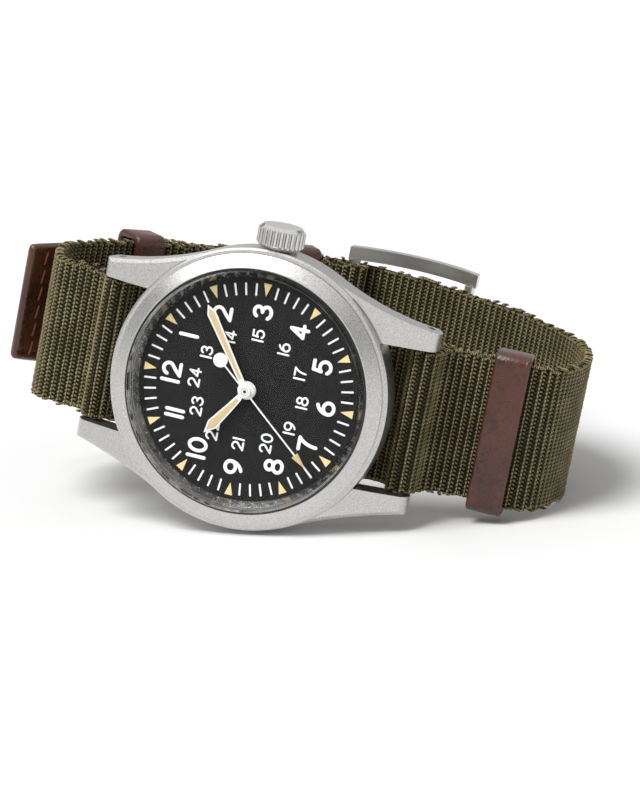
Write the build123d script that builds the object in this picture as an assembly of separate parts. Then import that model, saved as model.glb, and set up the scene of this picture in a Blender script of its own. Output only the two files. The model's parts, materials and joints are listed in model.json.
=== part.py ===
"""Field watch with a hand-wound movement on a one-piece textile strap.

The watch is drawn in its own directions: X points out through the crown at 3 o'clock, Y points
to 12 o'clock, Z points out of the crystal, and the origin is the middle of the dial's face.
At the end it is laid on its side, as it rests on a table: on the case's flank, the buckle and
the strap's bend, with the crown up. All lengths are in millimetres.
"""

from build123d import *
import math
import os

os.makedirs("parts", exist_ok=True)

# Case
case_radius = 19.0
case_flank_top = 0.3
case_shoulder_height = 0.55
case_flank_bottom = -4.2
case_bottom = -5.3
case_bore_radius = 15.6
bezel_seat_radius = 18.3
bezel_seat_height = 0.1
neck_radius = 16.9
neck_depth = 0.45
cut_overrun = 0.5

# Lugs, one drawn at 1 o'clock and mirrored. The spring bar's place along Y carries their tips.
bar_outset = 2.6
bar_y = case_radius + bar_outset
strap_gap_half = 10.0
lug_tangent_angle = 26.0
lug_overhang = 1.7
lug_tip_half_span = bar_y + lug_overhang
lug_top_overhang = 0.8
lug_back_overhang = 0.7
lug_mid_inset = 2.5
lug_tip_outer = 12.4
lug_root_y = 6.0
lug_top_start_y = 8.0
lug_top_mid = (case_radius - lug_mid_inset, -1.15)
lug_top_end = (bar_y + lug_top_overhang, -2.9)
lug_tip_mid_z = -4.7
lug_back_start = (bar_y + lug_back_overhang, -6.8)
lug_back_mid = (case_radius - lug_mid_inset, -4.9)
lug_edge_chamfer = 0.45

# Bezel, crystal and the parts round the dial
bezel_outer_height = 0.85
bezel_inner_height = 2.0
bezel_lip = 0.15
crystal_radius = 16.15
crystal_edge_height = 2.45
crystal_edge_chamfer = 0.15
crystal_apex = 3.05
crystal_lip_width = 0.6
crystal_lip_depth = 0.55
crystal_inner_rise = 0.45
gasket_wall = 0.35
ledge_height = 1.3
rehaut_bottom_radius = 15.05
rehaut_top_radius = 15.85
rehaut_outer_radius = 16.0
dial_radius = 15.5
dial_thickness = 0.4
dial_hole_radius = 1.0

# Dial markers
marker_height = 0.04
hour_count = 12
minute_count = 60
triangle_base_radius = 14.5
triangle_apex_radius = 12.85
triangle_half_width = 0.53
tick_inner_radius = 12.7
tick_outer_radius = 14.35
tick_width = 0.22

# Case back
back_flange_radius = 17.6
back_plug_radius = 16.5
back_plug_top = -4.25
back_rim_bottom = -6.1
back_centre_bottom = -6.5
back_dome_radius = 13.0
back_wall = 1.0
back_notches = 6
back_notch_width = 2.4
back_notch_depth = 0.45
back_notch_length = 1.8
back_notch_inner_radius = 12.3
back_gasket_wall = 0.45
back_gasket_height = 0.5

# Crown, tube and stem
stem_z = -2.3
crown_radius = 3.2
crown_case_gap = 0.15
crown_length = 3.0
crown_inner_x = case_radius + crown_case_gap
crown_outer_x = crown_inner_x + crown_length
crown_flutes = 26
crown_flute_radius = 0.24
crown_bevel = 0.55
crown_recess_radius = 1.62
crown_recess_depth = 2.1
crown_pull_travel = 1.0
tube_outer_radius = 1.2
tube_inner_radius = 0.75
tube_inner_x = 15.3
tube_reach = 1.25
tube_outer_x = crown_inner_x + tube_reach
crown_gasket_inset = 0.75
crown_gasket_x = crown_inner_x + crown_gasket_inset
crown_gasket_width = 0.5
running_gap = 0.05
stem_radius = 0.45
stem_shoulder_x = 11.6
stem_square_radius = 0.4
stem_square_end_x = 6.3
stem_pivot_radius = 0.3
stem_pivot_end_x = 5.4
stem_groove_x = 10.9
stem_groove_width = 0.5
stem_groove_radius = 0.3

# Movement plates
movement_radius = 12.8
movement_height = 3.8
plate_thickness = 1.5
motion_recess_depth = 0.75
wheel_recess_depth = 0.35
bridge_under = 1.3
train_bridge_thickness = 0.65
pillar_radius = 1.15
screw_radius = 0.35
screw_head_radius = 0.7
screw_head_height = 0.25
screw_slot_width = 0.14
jewel_radius = 0.38
barrel_arbor_radius = 0.5
jewel_height = 0.3
pivot_radius = 0.09
pivot_gap = 0.03
arbor_radius = 0.17

# Gear train
tooth_tip_share = 0.10
tooth_root_share = 0.24
addendum_share = 0.9
dedendum_share = 1.15
wheel_arm_width = 0.45
wheel_arms = 4
rim_depth_in_modules = 5
barrel_module = 0.125
barrel_teeth = 84
centre_pinion_teeth = 12
centre_module = 0.09
centre_teeth = 80
third_pinion_teeth = 10
third_teeth = 75
seconds_pinion_teeth = 10
seconds_teeth = 84
escape_pinion_teeth = 7
escape_module = 0.09
escape_teeth = 20
escape_radius = 2.0
escape_root_share = 0.78
escape_tooth_back_share = 0.55
escape_tooth_tip_share = 0.72
escape_tooth_front_share = 0.5
barrel_angle = 64.5
third_angle = 210.0
escape_angle = 275.0
balance_angle = 300.0
balance_distance = 8.2
balance_radius = 4.2
balance_rim_width = 0.45
pallet_to_escape = 2.06
pallet_to_balance = 3.2
wheel_thickness = 0.25
thin_wheel_thickness = 0.2
level_gap = 0.05
barrel_tooth_height = 0.45
mainspring_thickness = 0.12
mainspring_turns = 7
hairspring_thickness = 0.06
hairspring_height = 0.15
hairspring_turns = 9
spiral_steps_in_turn = 24
balance_arms = 3
hairspring_radius = 2.4
collet_radius = 0.5
roller_radius = 0.75
impulse_pin_radius = 0.08
impulse_pin_distance = 0.62
fork_half_width = 0.25
fork_slot_width = 0.22
fork_slot_length = 0.25
pallet_span = 45.0
stone_width = 0.15
stone_length = 0.35
pallet_foot_distance = 3.3
pallet_foot_turn = 65.0
pallet_pillar_radius = 0.8
balance_foot_distance = 11.5
balance_foot_angle = 331.0
barrel_foot_places = ((10.6, 131.0), (11.2, 158.0), (11.3, 36.0))
train_foot_places = ((10.6, 197.0), (10.8, 247.0))
train_bridge_west_turn = 14.0
train_bridge_south_turn = 8.0
clamp_angles = (110.0, 290.0)
clamp_length = 3.2
clamp_half_width = 0.9
clamp_thickness = 0.25
clamp_inner_distance = 11.6

# Motion works, setting and winding parts
motion_module = 0.125
cannon_teeth = 12
minute_wheel_teeth = 36
minute_pinion_teeth = 10
hour_wheel_teeth = 40
setting_wheel_teeth = 20
centre_arbor_radius = 0.42
centre_arbor_bore = 0.22
cannon_radius = 0.62
hour_pipe_radius = 0.9
crown_wheel_teeth = 30
ratchet_teeth = 56
winding_module = 0.158
winding_pinion_teeth = 16
winding_pinion_width = 1.0
clutch_radius = 1.1
clutch_length = 1.4
clutch_gap = 0.2
clutch_travel = 0.8
click_pivot_distance = 5.9
click_pivot_angle = 150.0
click_tip_angle = 127.0
click_half_width = 0.4
click_lift = 12.0
setting_lever_reach = 2.6
crown_wheel_core = 0.8
barrel_boss_radius = 0.9
barrel_bridge_gap = 0.2
bridge_line_x = 2.0
bridge_line_y = 1.8
setting_lever_half_width = 0.55
setting_pin_radius = 0.15
yoke_pivot_y = 3.3
yoke_half_width = 0.25
clutch_groove_width = 0.3

# Hands
hand_thickness = 0.15
hour_hand_level = 0.7
minute_hand_level = 1.1
seconds_hand_level = 1.5
seconds_hub_top = 1.9
hour_hand_length = 8.3
hour_hand_half_width = 0.74
hour_hand_widest = 6.7
hour_hand_root_half_width = 0.34
hour_hub_radius = 1.25
minute_hand_length = 12.5
minute_hand_half_width = 0.62
minute_hand_widest = 11.3
minute_hand_root_half_width = 0.34
minute_hub_radius = 1.1
seconds_hand_length = 14.28
seconds_hand_half_width = 0.09
seconds_hub_radius = 0.75
seconds_counter_radius = 0.97
seconds_counter_distance = 5.32
seconds_arrow_tail = 10.65
seconds_arrow_tip = 12.87
seconds_arrow_half_width = 0.5
minute_hand_clock_angle = 54.65
hour_hand_clock_angle = 304.5
seconds_hand_clock_angle = 219.8

# Spring bars
bar_z = -5.4
bar_radius = 0.75
bar_bore_radius = 0.55
bar_end_gap = 0.1
plunger_radius = 0.4
plunger_collar_radius = 0.5
plunger_reach = 1.0
plunger_collar_length = 1.2
lug_hole_radius = 0.55
lug_step_gap = 0.1
bar_cap_length = 0.6

# Strap
strap_width = 19.6
strap_thickness = 1.2
layer_gap = 0.1
loop_beyond_bar_6 = 19.2
loop_beyond_bar_12 = 12.8
loop_reach_6 = bar_y + loop_beyond_bar_6
loop_reach_12 = bar_y + loop_beyond_bar_12
loop_depth = 59.45
strap_level = -6.6
leather_thickness = 1.5
leather_tip_width = 16.6
keeper_wall = 1.1
keeper_length = 4.9
keeper_clearance = 0.15
keeper_rounding = 0.4

# Strap outline: the face away from the wrist, each place as shares of the loop's reach on its
# side of the dial's middle and of the loop's depth
tail_shares = (
    (-0.760, -0.162), (-0.870, -0.1665), (-0.936, -0.195), (-0.980, -0.266), (-1.0, -0.353),
    (-1.0, -0.442), (-0.971, -0.533), (-0.922, -0.622), (-0.853, -0.696), (-0.765, -0.764),
    (-0.669, -0.8225), (-0.551, -0.876), (-0.417, -0.925), (-0.270, -0.9655), (-0.1225, -0.9924),
    (0.0087, -1.0), (0.105, -0.987), (0.215, -0.952), (0.363, -0.883), (0.523, -0.797),
    (0.674, -0.710), (0.802, -0.6325), (0.901, -0.565), (0.994, -0.496), (1.081, -0.432), (1.163, -0.370),
)
leather_start_share = 0.77
tail_textile_points = 21
lower_layer_shares = (0.105, 0.215, 0.363, 0.523)
lower_bend_shares = (0.650, 0.760)
fold_end_share = 0.19
fold_middle_share = 0.12
bend_shares = (
    (0.862, -0.541), (0.930, -0.470), (0.983, -0.405), (1.0, -0.338), (0.985, -0.259),
    (0.947, -0.186), (0.888, -0.144), (0.820, -0.1305),
)
under_shares = (
    (0.828, -0.156), (0.727, -0.1425), (0.620, -0.1352), (0.550, -0.134), (0.500, -0.134), (0.400, -0.134),
    (0.250, -0.134), (0.0, -0.134), (-0.220, -0.134), (-0.340, -0.134), (-0.400, -0.134), (-0.446, -0.1355),
    (-0.502, -0.146), (-0.576, -0.168), (-0.657, -0.184), (-0.760, -0.1890), (-0.863, -0.1925),
)
behind_case_shares = (1.0, 0.92, 0.8, 0.6, 0.3, 0.0, -0.3, -0.6, -0.8, -0.92, -1.0)
outward_level_12 = -7.0
outward_level_6 = -9.2
dip_corner = 1.35
strap_step = 0.6
fewest_strap_steps = 8
curve_search_steps = 2000
corner_share = 0.3
bar_wrap_angles = (0, 45, 90, 135, 180)
fold_wrap_angles = (75, 120, 160, 200, 240, 280)
keeper_slack = 0.7
under_gap = 0.45
fold_middle_lift = 0.6
fold_end_lift = 0.15
lug_keeper_y = -32.5
buckle_keeper_y = 9.0
free_keeper_y = 28.6

# Buckle
buckle_bar_radius = 0.75
buckle_far_bar_radius = 0.8
buckle_bar_y = 0.3
buckle_far_bar_y = -17.2
buckle_half_width = 12.4
buckle_side_width = 1.9
buckle_side_height = 1.8
buckle_overhang = 1.0
buckle_arch = 3.4
tang_width = 2.2
tang_thickness = 1.1
tang_elbow_y = -3.0
tang_lift = 1.0
tang_slot_clearance = 0.3
tang_hole_before = 4.2
tang_hole_after = 1.3

lug_step_x = strap_gap_half + plunger_reach + lug_step_gap
movement_top = -dial_thickness
plate_back = movement_top - plate_thickness
movement_bottom = movement_top - movement_height
centre = (0.0, 0.0)


def polar(distance, angle, start=centre):
    """The point at a distance and an angle in degrees from a start point."""
    radians = math.radians(angle)
    return start[0] + distance * math.cos(radians), start[1] + distance * math.sin(radians)


def bearing(start, end):
    """The angle in degrees from one point to another."""
    return math.degrees(math.atan2(end[1] - start[1], end[0] - start[0]))


def disc(radius, bottom, top, at=centre):
    """A round plate between two heights."""
    return Pos(at[0], at[1], bottom) * Cylinder(radius, top - bottom, align=(Align.CENTER, Align.CENTER, Align.MIN))


def ring(outer, inner, bottom, top, at=centre):
    """A round plate with a round hole."""
    return disc(outer, bottom, top, at) - disc(inner, bottom, top, at)


def rod(radius, start, end, y=0.0, z=stem_z):
    """A round rod along X between two places."""
    base = Cylinder(radius, end - start, align=(Align.CENTER, Align.CENTER, Align.MIN))
    return Pos(start, y, z) * Rot(0, 90, 0) * base


def turned(*points):
    """A solid turned about Z from points of radius and height."""
    return revolve(Plane.XZ * make_face(Polyline(*points, close=True)), Axis.Z)


def plate(points, bottom, top):
    """A flat plate with a straight-sided outline."""
    return Pos(0, 0, bottom) * extrude(make_face(Polyline(*points, close=True)), top - bottom)


def bar_between(start, end, half_width, bottom, top):
    """A flat bar with round ends from one point to another."""
    length = math.dist(start, end)
    middle = ((start[0] + end[0]) / 2, (start[1] + end[1]) / 2)
    outline = SlotCenterToCenter(length, 2 * half_width)
    return Pos(*middle, bottom) * Rot(0, 0, bearing(start, end)) * extrude(outline, top - bottom)


def mirrored_four(solid):
    """The solid and its mirror copies about the two planes that cross at the dial's middle."""
    pair = [solid, mirror(solid, Plane.YZ)]
    return pair + [mirror(one, Plane.XZ) for one in pair]


# Case and its covers

def lug():
    """One lug: the plan outline and the side outline cut from each other."""
    tangent_point = polar(case_radius, lug_tangent_angle)
    direction = polar(1, lug_tangent_angle + 90)
    outer_corner = (lug_tip_outer, lug_tip_half_span)
    root = (strap_gap_half, lug_root_y)
    flank = TangentArc(tangent_point, outer_corner, tangent=direction)
    past_tip = lug_tip_half_span + cut_overrun
    rest = Polyline(outer_corner, (lug_tip_outer, past_tip), (strap_gap_half, past_tip), root, tangent_point)
    height = case_shoulder_height - lug_back_start[1]
    plan = Pos(0, 0, lug_back_start[1]) * extrude(make_face([flank, rest]), height)
    top_start = (lug_top_start_y, case_flank_top)
    back_end = (lug_top_start_y, case_flank_bottom)
    top = ThreePointArc(top_start, lug_top_mid, lug_top_end)
    tip = ThreePointArc(lug_top_end, (lug_tip_half_span, lug_tip_mid_z), lug_back_start)
    back = ThreePointArc(lug_back_start, lug_back_mid, back_end)
    inner = Polyline(back_end, (0, case_flank_bottom), (0, case_flank_top), top_start)
    side = extrude(Plane.YZ * make_face([top, tip, back, inner]), case_radius)
    solid = plan & side
    outer_edges = solid.edges().filter_by(lambda edge: edge.center().Z > lug_top_end[1] and edge.center().X > lug_tip_outer)
    longest = outer_edges.sort_by(SortBy.LENGTH)[-1]
    return chamfer(longest, lug_edge_chamfer)


def case_body():
    shoulder_radius = case_radius - (case_shoulder_height - case_flank_top)
    bevel = case_flank_bottom - case_bottom
    body = turned(
        (0, case_bottom),
        (case_radius - bevel, case_bottom),
        (case_radius, case_flank_bottom),
        (case_radius, case_flank_top),
        (shoulder_radius, case_shoulder_height),
        (0, case_shoulder_height),
    )
    for one in mirrored_four(lug()):
        body += one
    hollow = turned(
        (0, case_bottom - cut_overrun),
        (back_plug_radius, case_bottom - cut_overrun),
        (back_plug_radius, back_plug_top),
        (case_bore_radius, back_plug_top),
        (case_bore_radius, bezel_seat_height - neck_depth),
        (neck_radius, bezel_seat_height - neck_depth),
        (neck_radius, bezel_seat_height),
        (bezel_seat_radius, bezel_seat_height),
        (bezel_seat_radius, case_shoulder_height + cut_overrun),
        (0, case_shoulder_height + cut_overrun),
    )
    body -= hollow
    body -= rod(tube_outer_radius, case_bore_radius - cut_overrun, case_radius + cut_overrun)
    for side in (-1, 1):
        body -= rod(plunger_radius + running_gap, -case_radius, case_radius, side * bar_y, bar_z)
        for start, end in ((-case_radius, -lug_step_x), (lug_step_x, case_radius)):
            body -= rod(lug_hole_radius, start, end, side * bar_y, bar_z)
    return body


def bezel():
    """The sloping ring that holds the crystal, with a neck that presses into the case."""
    gasket_radius = crystal_radius + gasket_wall
    return turned(
        (rehaut_outer_radius, bezel_seat_height - neck_depth),
        (neck_radius, bezel_seat_height - neck_depth),
        (neck_radius, bezel_seat_height),
        (bezel_seat_radius, bezel_seat_height),
        (bezel_seat_radius, bezel_outer_height),
        (gasket_radius + bezel_lip, bezel_inner_height),
        (gasket_radius, bezel_inner_height),
        (gasket_radius, ledge_height),
        (rehaut_outer_radius, ledge_height),
    )


def dome(start, apex_height):
    """An arc from a point of radius and height up to the axis, level there."""
    rise = apex_height - start[1]
    radius = (start[0] ** 2 + rise ** 2) / (2 * rise)
    half = start[0] / 2
    return ThreePointArc(start, (half, apex_height - radius + math.sqrt(radius ** 2 - half ** 2)), (0, apex_height))


def crystal():
    """A shallow dome, hollow underneath, on a lip that stands in the bezel."""
    rim = (crystal_radius - crystal_edge_chamfer, crystal_edge_height + crystal_edge_chamfer)
    lip_inner = crystal_radius - crystal_lip_width
    inner_start = (lip_inner, ledge_height + crystal_lip_depth)
    inner_apex = inner_start[1] + crystal_inner_rise
    edge = Polyline(
        rim,
        (crystal_radius, crystal_edge_height),
        (crystal_radius, ledge_height),
        (lip_inner, ledge_height),
        inner_start,
    )
    axis = Line((0, inner_apex), (0, crystal_apex))
    return revolve(Plane.XZ * make_face([edge, dome(inner_start, inner_apex), axis, dome(rim, crystal_apex)]), Axis.Z)


def crystal_gasket():
    return ring(crystal_radius + gasket_wall, crystal_radius, ledge_height, bezel_inner_height - level_gap)


def rehaut_ring():
    """The dark sloping ring between the dial and the crystal."""
    return turned(
        (rehaut_bottom_radius, 0),
        (rehaut_outer_radius - level_gap, 0),
        (rehaut_outer_radius - level_gap, ledge_height - level_gap),
        (rehaut_top_radius, ledge_height - level_gap),
    )


def dial():
    """The dial with its raised print: hour triangles and the minute ticks between them."""
    body = ring(dial_radius, dial_hole_radius, -dial_thickness, 0)
    for minute in range(minute_count):
        angle = 360 * minute / minute_count
        if minute % (minute_count // hour_count) == 0:
            outline = make_face(Polyline(
                (triangle_base_radius, -triangle_half_width),
                (triangle_base_radius, triangle_half_width),
                (triangle_apex_radius, 0),
                close=True,
            ))
        else:
            length = tick_outer_radius - tick_inner_radius
            outline = Pos(tick_inner_radius + length / 2, 0) * Rectangle(length, tick_width)
        body += Rot(0, 0, angle) * extrude(outline, marker_height)
    return body


def case_back():
    """A screwed back: a threaded plug, a flange with key notches and a shallow dome."""
    body = turned(
        (0, back_centre_bottom),
        (back_dome_radius, back_centre_bottom),
        (back_flange_radius, back_rim_bottom),
        (back_flange_radius, case_bottom),
        (back_plug_radius - level_gap, case_bottom),
        (back_plug_radius - level_gap, back_plug_top - back_gasket_height),
        (back_plug_radius - back_gasket_wall, back_plug_top - back_gasket_height),
        (back_plug_radius - back_gasket_wall, back_plug_top),
        (dial_radius - level_gap, back_plug_top),
        (dial_radius - level_gap, back_centre_bottom + back_wall),
        (0, back_centre_bottom + back_wall),
    )
    pitch = 360 / back_notches
    for index in range(back_notches):
        cut = Box(
            back_notch_length, back_notch_width, back_notch_depth + cut_overrun, align=(Align.MIN, Align.CENTER, Align.MAX)
        )
        place = Pos(back_notch_inner_radius, 0, back_centre_bottom + back_notch_depth)
        body -= Rot(0, 0, pitch * index + pitch / 2) * place * cut
    return body


def back_gasket():
    return ring(
        back_plug_radius - level_gap,
        back_plug_radius - back_gasket_wall,
        back_plug_top - back_gasket_height,
        back_plug_top,
    )


# Crown, tube and stem

def crown_tube():
    return rod(tube_outer_radius, tube_inner_x, tube_outer_x) - rod(tube_inner_radius, tube_inner_x, tube_outer_x)


def crown_gasket():
    """The rubber ring that seals the crown's recess on the tube."""
    end = crown_gasket_x + crown_gasket_width
    outer = rod(crown_recess_radius - running_gap, crown_gasket_x, end)
    return outer - rod(tube_outer_radius + running_gap, crown_gasket_x, end)


def crown():
    """A fluted crown with bevelled ends, hollow round the tube and fixed on the stem."""
    body = Rot(0, 90, 0) * chamfer(
        Cylinder(crown_radius, crown_outer_x - crown_inner_x).edges().filter_by(GeomType.CIRCLE), crown_bevel
    )
    body = Pos((crown_inner_x + crown_outer_x) / 2, 0, stem_z) * body
    for index in range(crown_flutes):
        y, z = polar(crown_radius, 360 * index / crown_flutes)
        body -= rod(crown_flute_radius, crown_inner_x, crown_outer_x, y, stem_z + z)
    body -= rod(crown_recess_radius, crown_inner_x - cut_overrun, crown_inner_x + crown_recess_depth)
    return body


def winding_stem():
    """The stem from the crown to its pivot, with the setting lever's groove."""
    stem = rod(stem_radius, stem_shoulder_x, crown_inner_x + crown_recess_depth)
    stem += rod(stem_square_radius, stem_square_end_x, stem_shoulder_x)
    stem += rod(stem_pivot_radius, stem_pivot_end_x, stem_square_end_x)
    groove_end = stem_groove_x + stem_groove_width
    groove = rod(stem_radius, stem_groove_x, groove_end) - rod(stem_groove_radius, stem_groove_x, groove_end)
    return stem - groove


# Wheels

def tooth_points(teeth, root, tip, phase):
    """The outline of a toothed wheel, four points to a tooth."""
    pitch = 360 / teeth
    corners = ((-tooth_root_share, root), (-tooth_tip_share, tip), (tooth_tip_share, tip), (tooth_root_share, root))
    return [polar(radius, phase + pitch * (index + share)) for index in range(teeth) for share, radius in corners]


def gear(teeth, module, bottom, top, at=centre, phase=0.0):
    """A toothed disc whose first tooth points along the phase angle."""
    pitch_radius = teeth * module / 2
    root = pitch_radius - dedendum_share * module
    tip = pitch_radius + addendum_share * module
    return Pos(*at, 0) * plate(tooth_points(teeth, root, tip, phase), bottom, top)


def crossed(wheel, rim_inner, hub_radius, arms, bottom, top, at=centre):
    """The wheel with its web cut away between a few arms."""
    window = ring(rim_inner, hub_radius, bottom, top, at)
    for index in range(arms):
        arm = Box(rim_inner, wheel_arm_width, top - bottom, align=(Align.MIN, Align.CENTER, Align.MIN))
        window -= Pos(*at, bottom) * Rot(0, 0, 360 * index / arms) * arm
    return wheel - window


def matching_phase(teeth, phase, other_teeth, start, end):
    """The phase of a second wheel whose gap meets a tooth of the first on their line of centres."""
    direction = bearing(start, end)
    place = (direction - phase) * teeth / 360
    return direction + 180 - (0.5 - place) * 360 / other_teeth


def pivots(bottom, top, at):
    """The thin ends of an arbor, from one jewel to the other."""
    return disc(pivot_radius, bottom, top, at)


barrel_distance = barrel_module * (barrel_teeth + centre_pinion_teeth) / 2
third_distance = centre_module * (centre_teeth + third_pinion_teeth) / 2
third_module = 2 * third_distance / (third_teeth + seconds_pinion_teeth)
escape_distance = escape_module * (seconds_teeth + escape_pinion_teeth) / 2
barrel_at = polar(barrel_distance, barrel_angle)
third_at = polar(third_distance, third_angle)
escape_at = polar(escape_distance, escape_angle)
balance_at = polar(balance_distance, balance_angle)
motion_distance = motion_module * (cannon_teeth + minute_wheel_teeth) / 2
hour_module = 2 * motion_distance / (minute_pinion_teeth + hour_wheel_teeth)
minute_wheel_at = (motion_distance, 0.0)
setting_at = (motion_distance + motion_module * (minute_wheel_teeth + setting_wheel_teeth) / 2, 0.0)
ratchet_radius = winding_module * ratchet_teeth / 2
crown_wheel_radius = winding_module * crown_wheel_teeth / 2


def crown_wheel_place():
    """On the stem's line, where the crown wheel just reaches the ratchet wheel's teeth."""
    reach = ratchet_radius + crown_wheel_radius
    return barrel_at[0] + math.sqrt(reach ** 2 - barrel_at[1] ** 2), 0.0


def pallet_place():
    """The third corner of the triangle with the escape wheel and the balance."""
    span = math.dist(escape_at, balance_at)
    along = (pallet_to_escape ** 2 - pallet_to_balance ** 2 + span ** 2) / (2 * span)
    aside = math.sqrt(pallet_to_escape ** 2 - along ** 2)
    angle = bearing(escape_at, balance_at)
    return polar(aside, angle - 90, polar(along, angle, escape_at))


crown_wheel_at = crown_wheel_place()
pallet_at = pallet_place()
winding_pinion_x = crown_wheel_at[0] + crown_wheel_radius - winding_pinion_width / 2
clutch_x = winding_pinion_x - clutch_gap - clutch_length

barrel_top = plate_back - level_gap
barrel_bottom = plate_back - bridge_under + level_gap
centre_wheel_top = plate_back + wheel_recess_depth - level_gap
centre_wheel_bottom = centre_wheel_top - wheel_thickness
escape_top = plate_back - 2 * level_gap
escape_bottom = escape_top - wheel_thickness
third_top = barrel_top - barrel_tooth_height - wheel_thickness / 2
third_bottom = third_top - wheel_thickness
seconds_top = barrel_bottom - 2 * level_gap
seconds_bottom = seconds_top - thin_wheel_thickness
train_bridge_top = movement_bottom + train_bridge_thickness
barrel_bridge_top = plate_back - bridge_under
ratchet_bottom = movement_bottom + level_gap
ratchet_top = ratchet_bottom + wheel_thickness
balance_bottom = seconds_top
balance_top = balance_bottom + wheel_thickness
pallet_top = escape_bottom - level_gap
pallet_bottom = pallet_top - thin_wheel_thickness
roller_top = pallet_bottom - level_gap
roller_bottom = roller_top - thin_wheel_thickness
pallet_bridge_top = roller_top
pallet_bridge_bottom = balance_top + 3 * level_gap
motion_floor = movement_top - motion_recess_depth
motion_bottom = motion_floor + level_gap
motion_middle = motion_bottom + thin_wheel_thickness
hour_wheel_bottom = motion_middle + level_gap
hour_wheel_top = hour_wheel_bottom + thin_wheel_thickness
seconds_pinion_top = third_top + level_gap
seconds_pinion_bottom = third_bottom - level_gap
centre_arbor_bottom = seconds_pinion_top + level_gap
pallet_foot_at = polar(pallet_foot_distance, bearing(balance_at, pallet_at) + pallet_foot_turn, pallet_at)
click_pivot_at = polar(click_pivot_distance, click_pivot_angle, barrel_at)
click_tip_distance = ratchet_radius + addendum_share * winding_module + click_half_width + running_gap
click_tip_at = polar(click_tip_distance, click_tip_angle, barrel_at)
click_length = math.dist(click_pivot_at, click_tip_at)
click_lifted_at = polar(click_length, bearing(click_pivot_at, click_tip_at) + click_lift, click_pivot_at)
balance_foot_at = polar(balance_foot_distance, balance_foot_angle)
barrel_feet = [polar(distance, angle) for distance, angle in barrel_foot_places]
train_feet = [polar(distance, angle) for distance, angle in train_foot_places]

centre_phase = 0.0
barrel_phase = matching_phase(centre_pinion_teeth, centre_phase, barrel_teeth, centre, barrel_at)
third_phase = matching_phase(centre_teeth, centre_phase, third_pinion_teeth, centre, third_at)
seconds_phase = matching_phase(third_teeth, third_phase, seconds_pinion_teeth, third_at, centre)
escape_phase = matching_phase(seconds_teeth, seconds_phase, escape_pinion_teeth, centre, escape_at)
minute_wheel_phase = matching_phase(cannon_teeth, centre_phase, minute_wheel_teeth, centre, minute_wheel_at)
hour_phase = matching_phase(minute_pinion_teeth, minute_wheel_phase, hour_wheel_teeth, minute_wheel_at, centre)
setting_phase = matching_phase(minute_wheel_teeth, minute_wheel_phase, setting_wheel_teeth, minute_wheel_at, setting_at)
crown_wheel_phase = matching_phase(ratchet_teeth, 0, crown_wheel_teeth, barrel_at, crown_wheel_at)


def barrel_drum():
    """The toothed drum that holds the mainspring, open towards the bridges for its cover."""
    wall_outer = barrel_module * barrel_teeth / 2 - 2 * barrel_module
    wall = wall_outer - wheel_thickness
    drum = gear(barrel_teeth, barrel_module, barrel_top - barrel_tooth_height, barrel_top, barrel_at, barrel_phase)
    drum += disc(wall_outer, barrel_bottom, barrel_top, barrel_at)
    drum -= disc(wall, barrel_bottom, barrel_top - wheel_thickness, barrel_at)
    return drum - disc(barrel_arbor_radius + running_gap, barrel_bottom, barrel_top, barrel_at)


def barrel_cover():
    wall = barrel_module * barrel_teeth / 2 - 2 * barrel_module - wheel_thickness
    return ring(wall, barrel_arbor_radius + running_gap, barrel_bottom, barrel_bottom + thin_wheel_thickness, barrel_at)


def barrel_arbor():
    """The arbor that the ratchet wheel winds, with a core for the mainspring."""
    core_bottom = barrel_bottom + thin_wheel_thickness + level_gap
    core_top = barrel_top - wheel_thickness - level_gap
    arbor = disc(barrel_arbor_radius, ratchet_bottom, plate_back + jewel_height, barrel_at)
    return arbor + disc(2 * barrel_arbor_radius, core_bottom, core_top, barrel_at)


def flat_spiral(inner, outer, turns, thickness, bottom, top, at):
    """A spiral strip of constant pitch, as a row of flat-sided pieces in one outline."""
    steps = int(turns * spiral_steps_in_turn)
    growth = (outer - inner) / steps
    outside = [polar(inner + growth * step + thickness / 2, 360 * turns * step / steps) for step in range(steps + 1)]
    inside = [polar(inner + growth * step - thickness / 2, 360 * turns * step / steps) for step in range(steps + 1)]
    return Pos(*at, 0) * plate(outside + inside[::-1], bottom, top)


def mainspring():
    wall = barrel_module * barrel_teeth / 2 - 2 * barrel_module - wheel_thickness
    bottom = barrel_bottom + thin_wheel_thickness + level_gap
    top = barrel_top - wheel_thickness - level_gap
    outer = wall - mainspring_thickness - level_gap
    return flat_spiral(wall / 2, outer, mainspring_turns, mainspring_thickness, bottom, top, barrel_at)


def centre_wheel():
    """The hollow centre arbor with its pinion below the barrel's teeth and its crossed wheel."""
    rim = centre_module * (centre_teeth / 2 - rim_depth_in_modules)
    wheel = gear(centre_teeth, centre_module, centre_wheel_bottom, centre_wheel_top, centre, centre_phase)
    wheel = crossed(wheel, rim, 2 * centre_arbor_radius, wheel_arms, centre_wheel_bottom, centre_wheel_top)
    pinion = gear(centre_pinion_teeth, barrel_module, barrel_top - barrel_tooth_height, barrel_top, centre, centre_phase)
    top = minute_hand_level + hand_thickness
    body = wheel + pinion + disc(centre_arbor_radius, centre_arbor_bottom, top)
    return body - disc(centre_arbor_bore, centre_arbor_bottom, top)


def third_wheel():
    rim = third_module * (third_teeth / 2 - rim_depth_in_modules)
    wheel = gear(third_teeth, third_module, third_bottom, third_top, third_at, third_phase)
    wheel = crossed(wheel, rim, 4 * arbor_radius, wheel_arms, third_bottom, third_top, third_at)
    pinion_bottom = centre_wheel_bottom - level_gap
    wheel += gear(third_pinion_teeth, centre_module, pinion_bottom, centre_wheel_top, third_at, third_phase)
    wheel += disc(arbor_radius, train_bridge_top + level_gap, pinion_bottom, third_at)
    lower_end = plate_back + wheel_recess_depth + jewel_height
    return wheel + pivots(train_bridge_top - jewel_height, lower_end, third_at)


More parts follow.
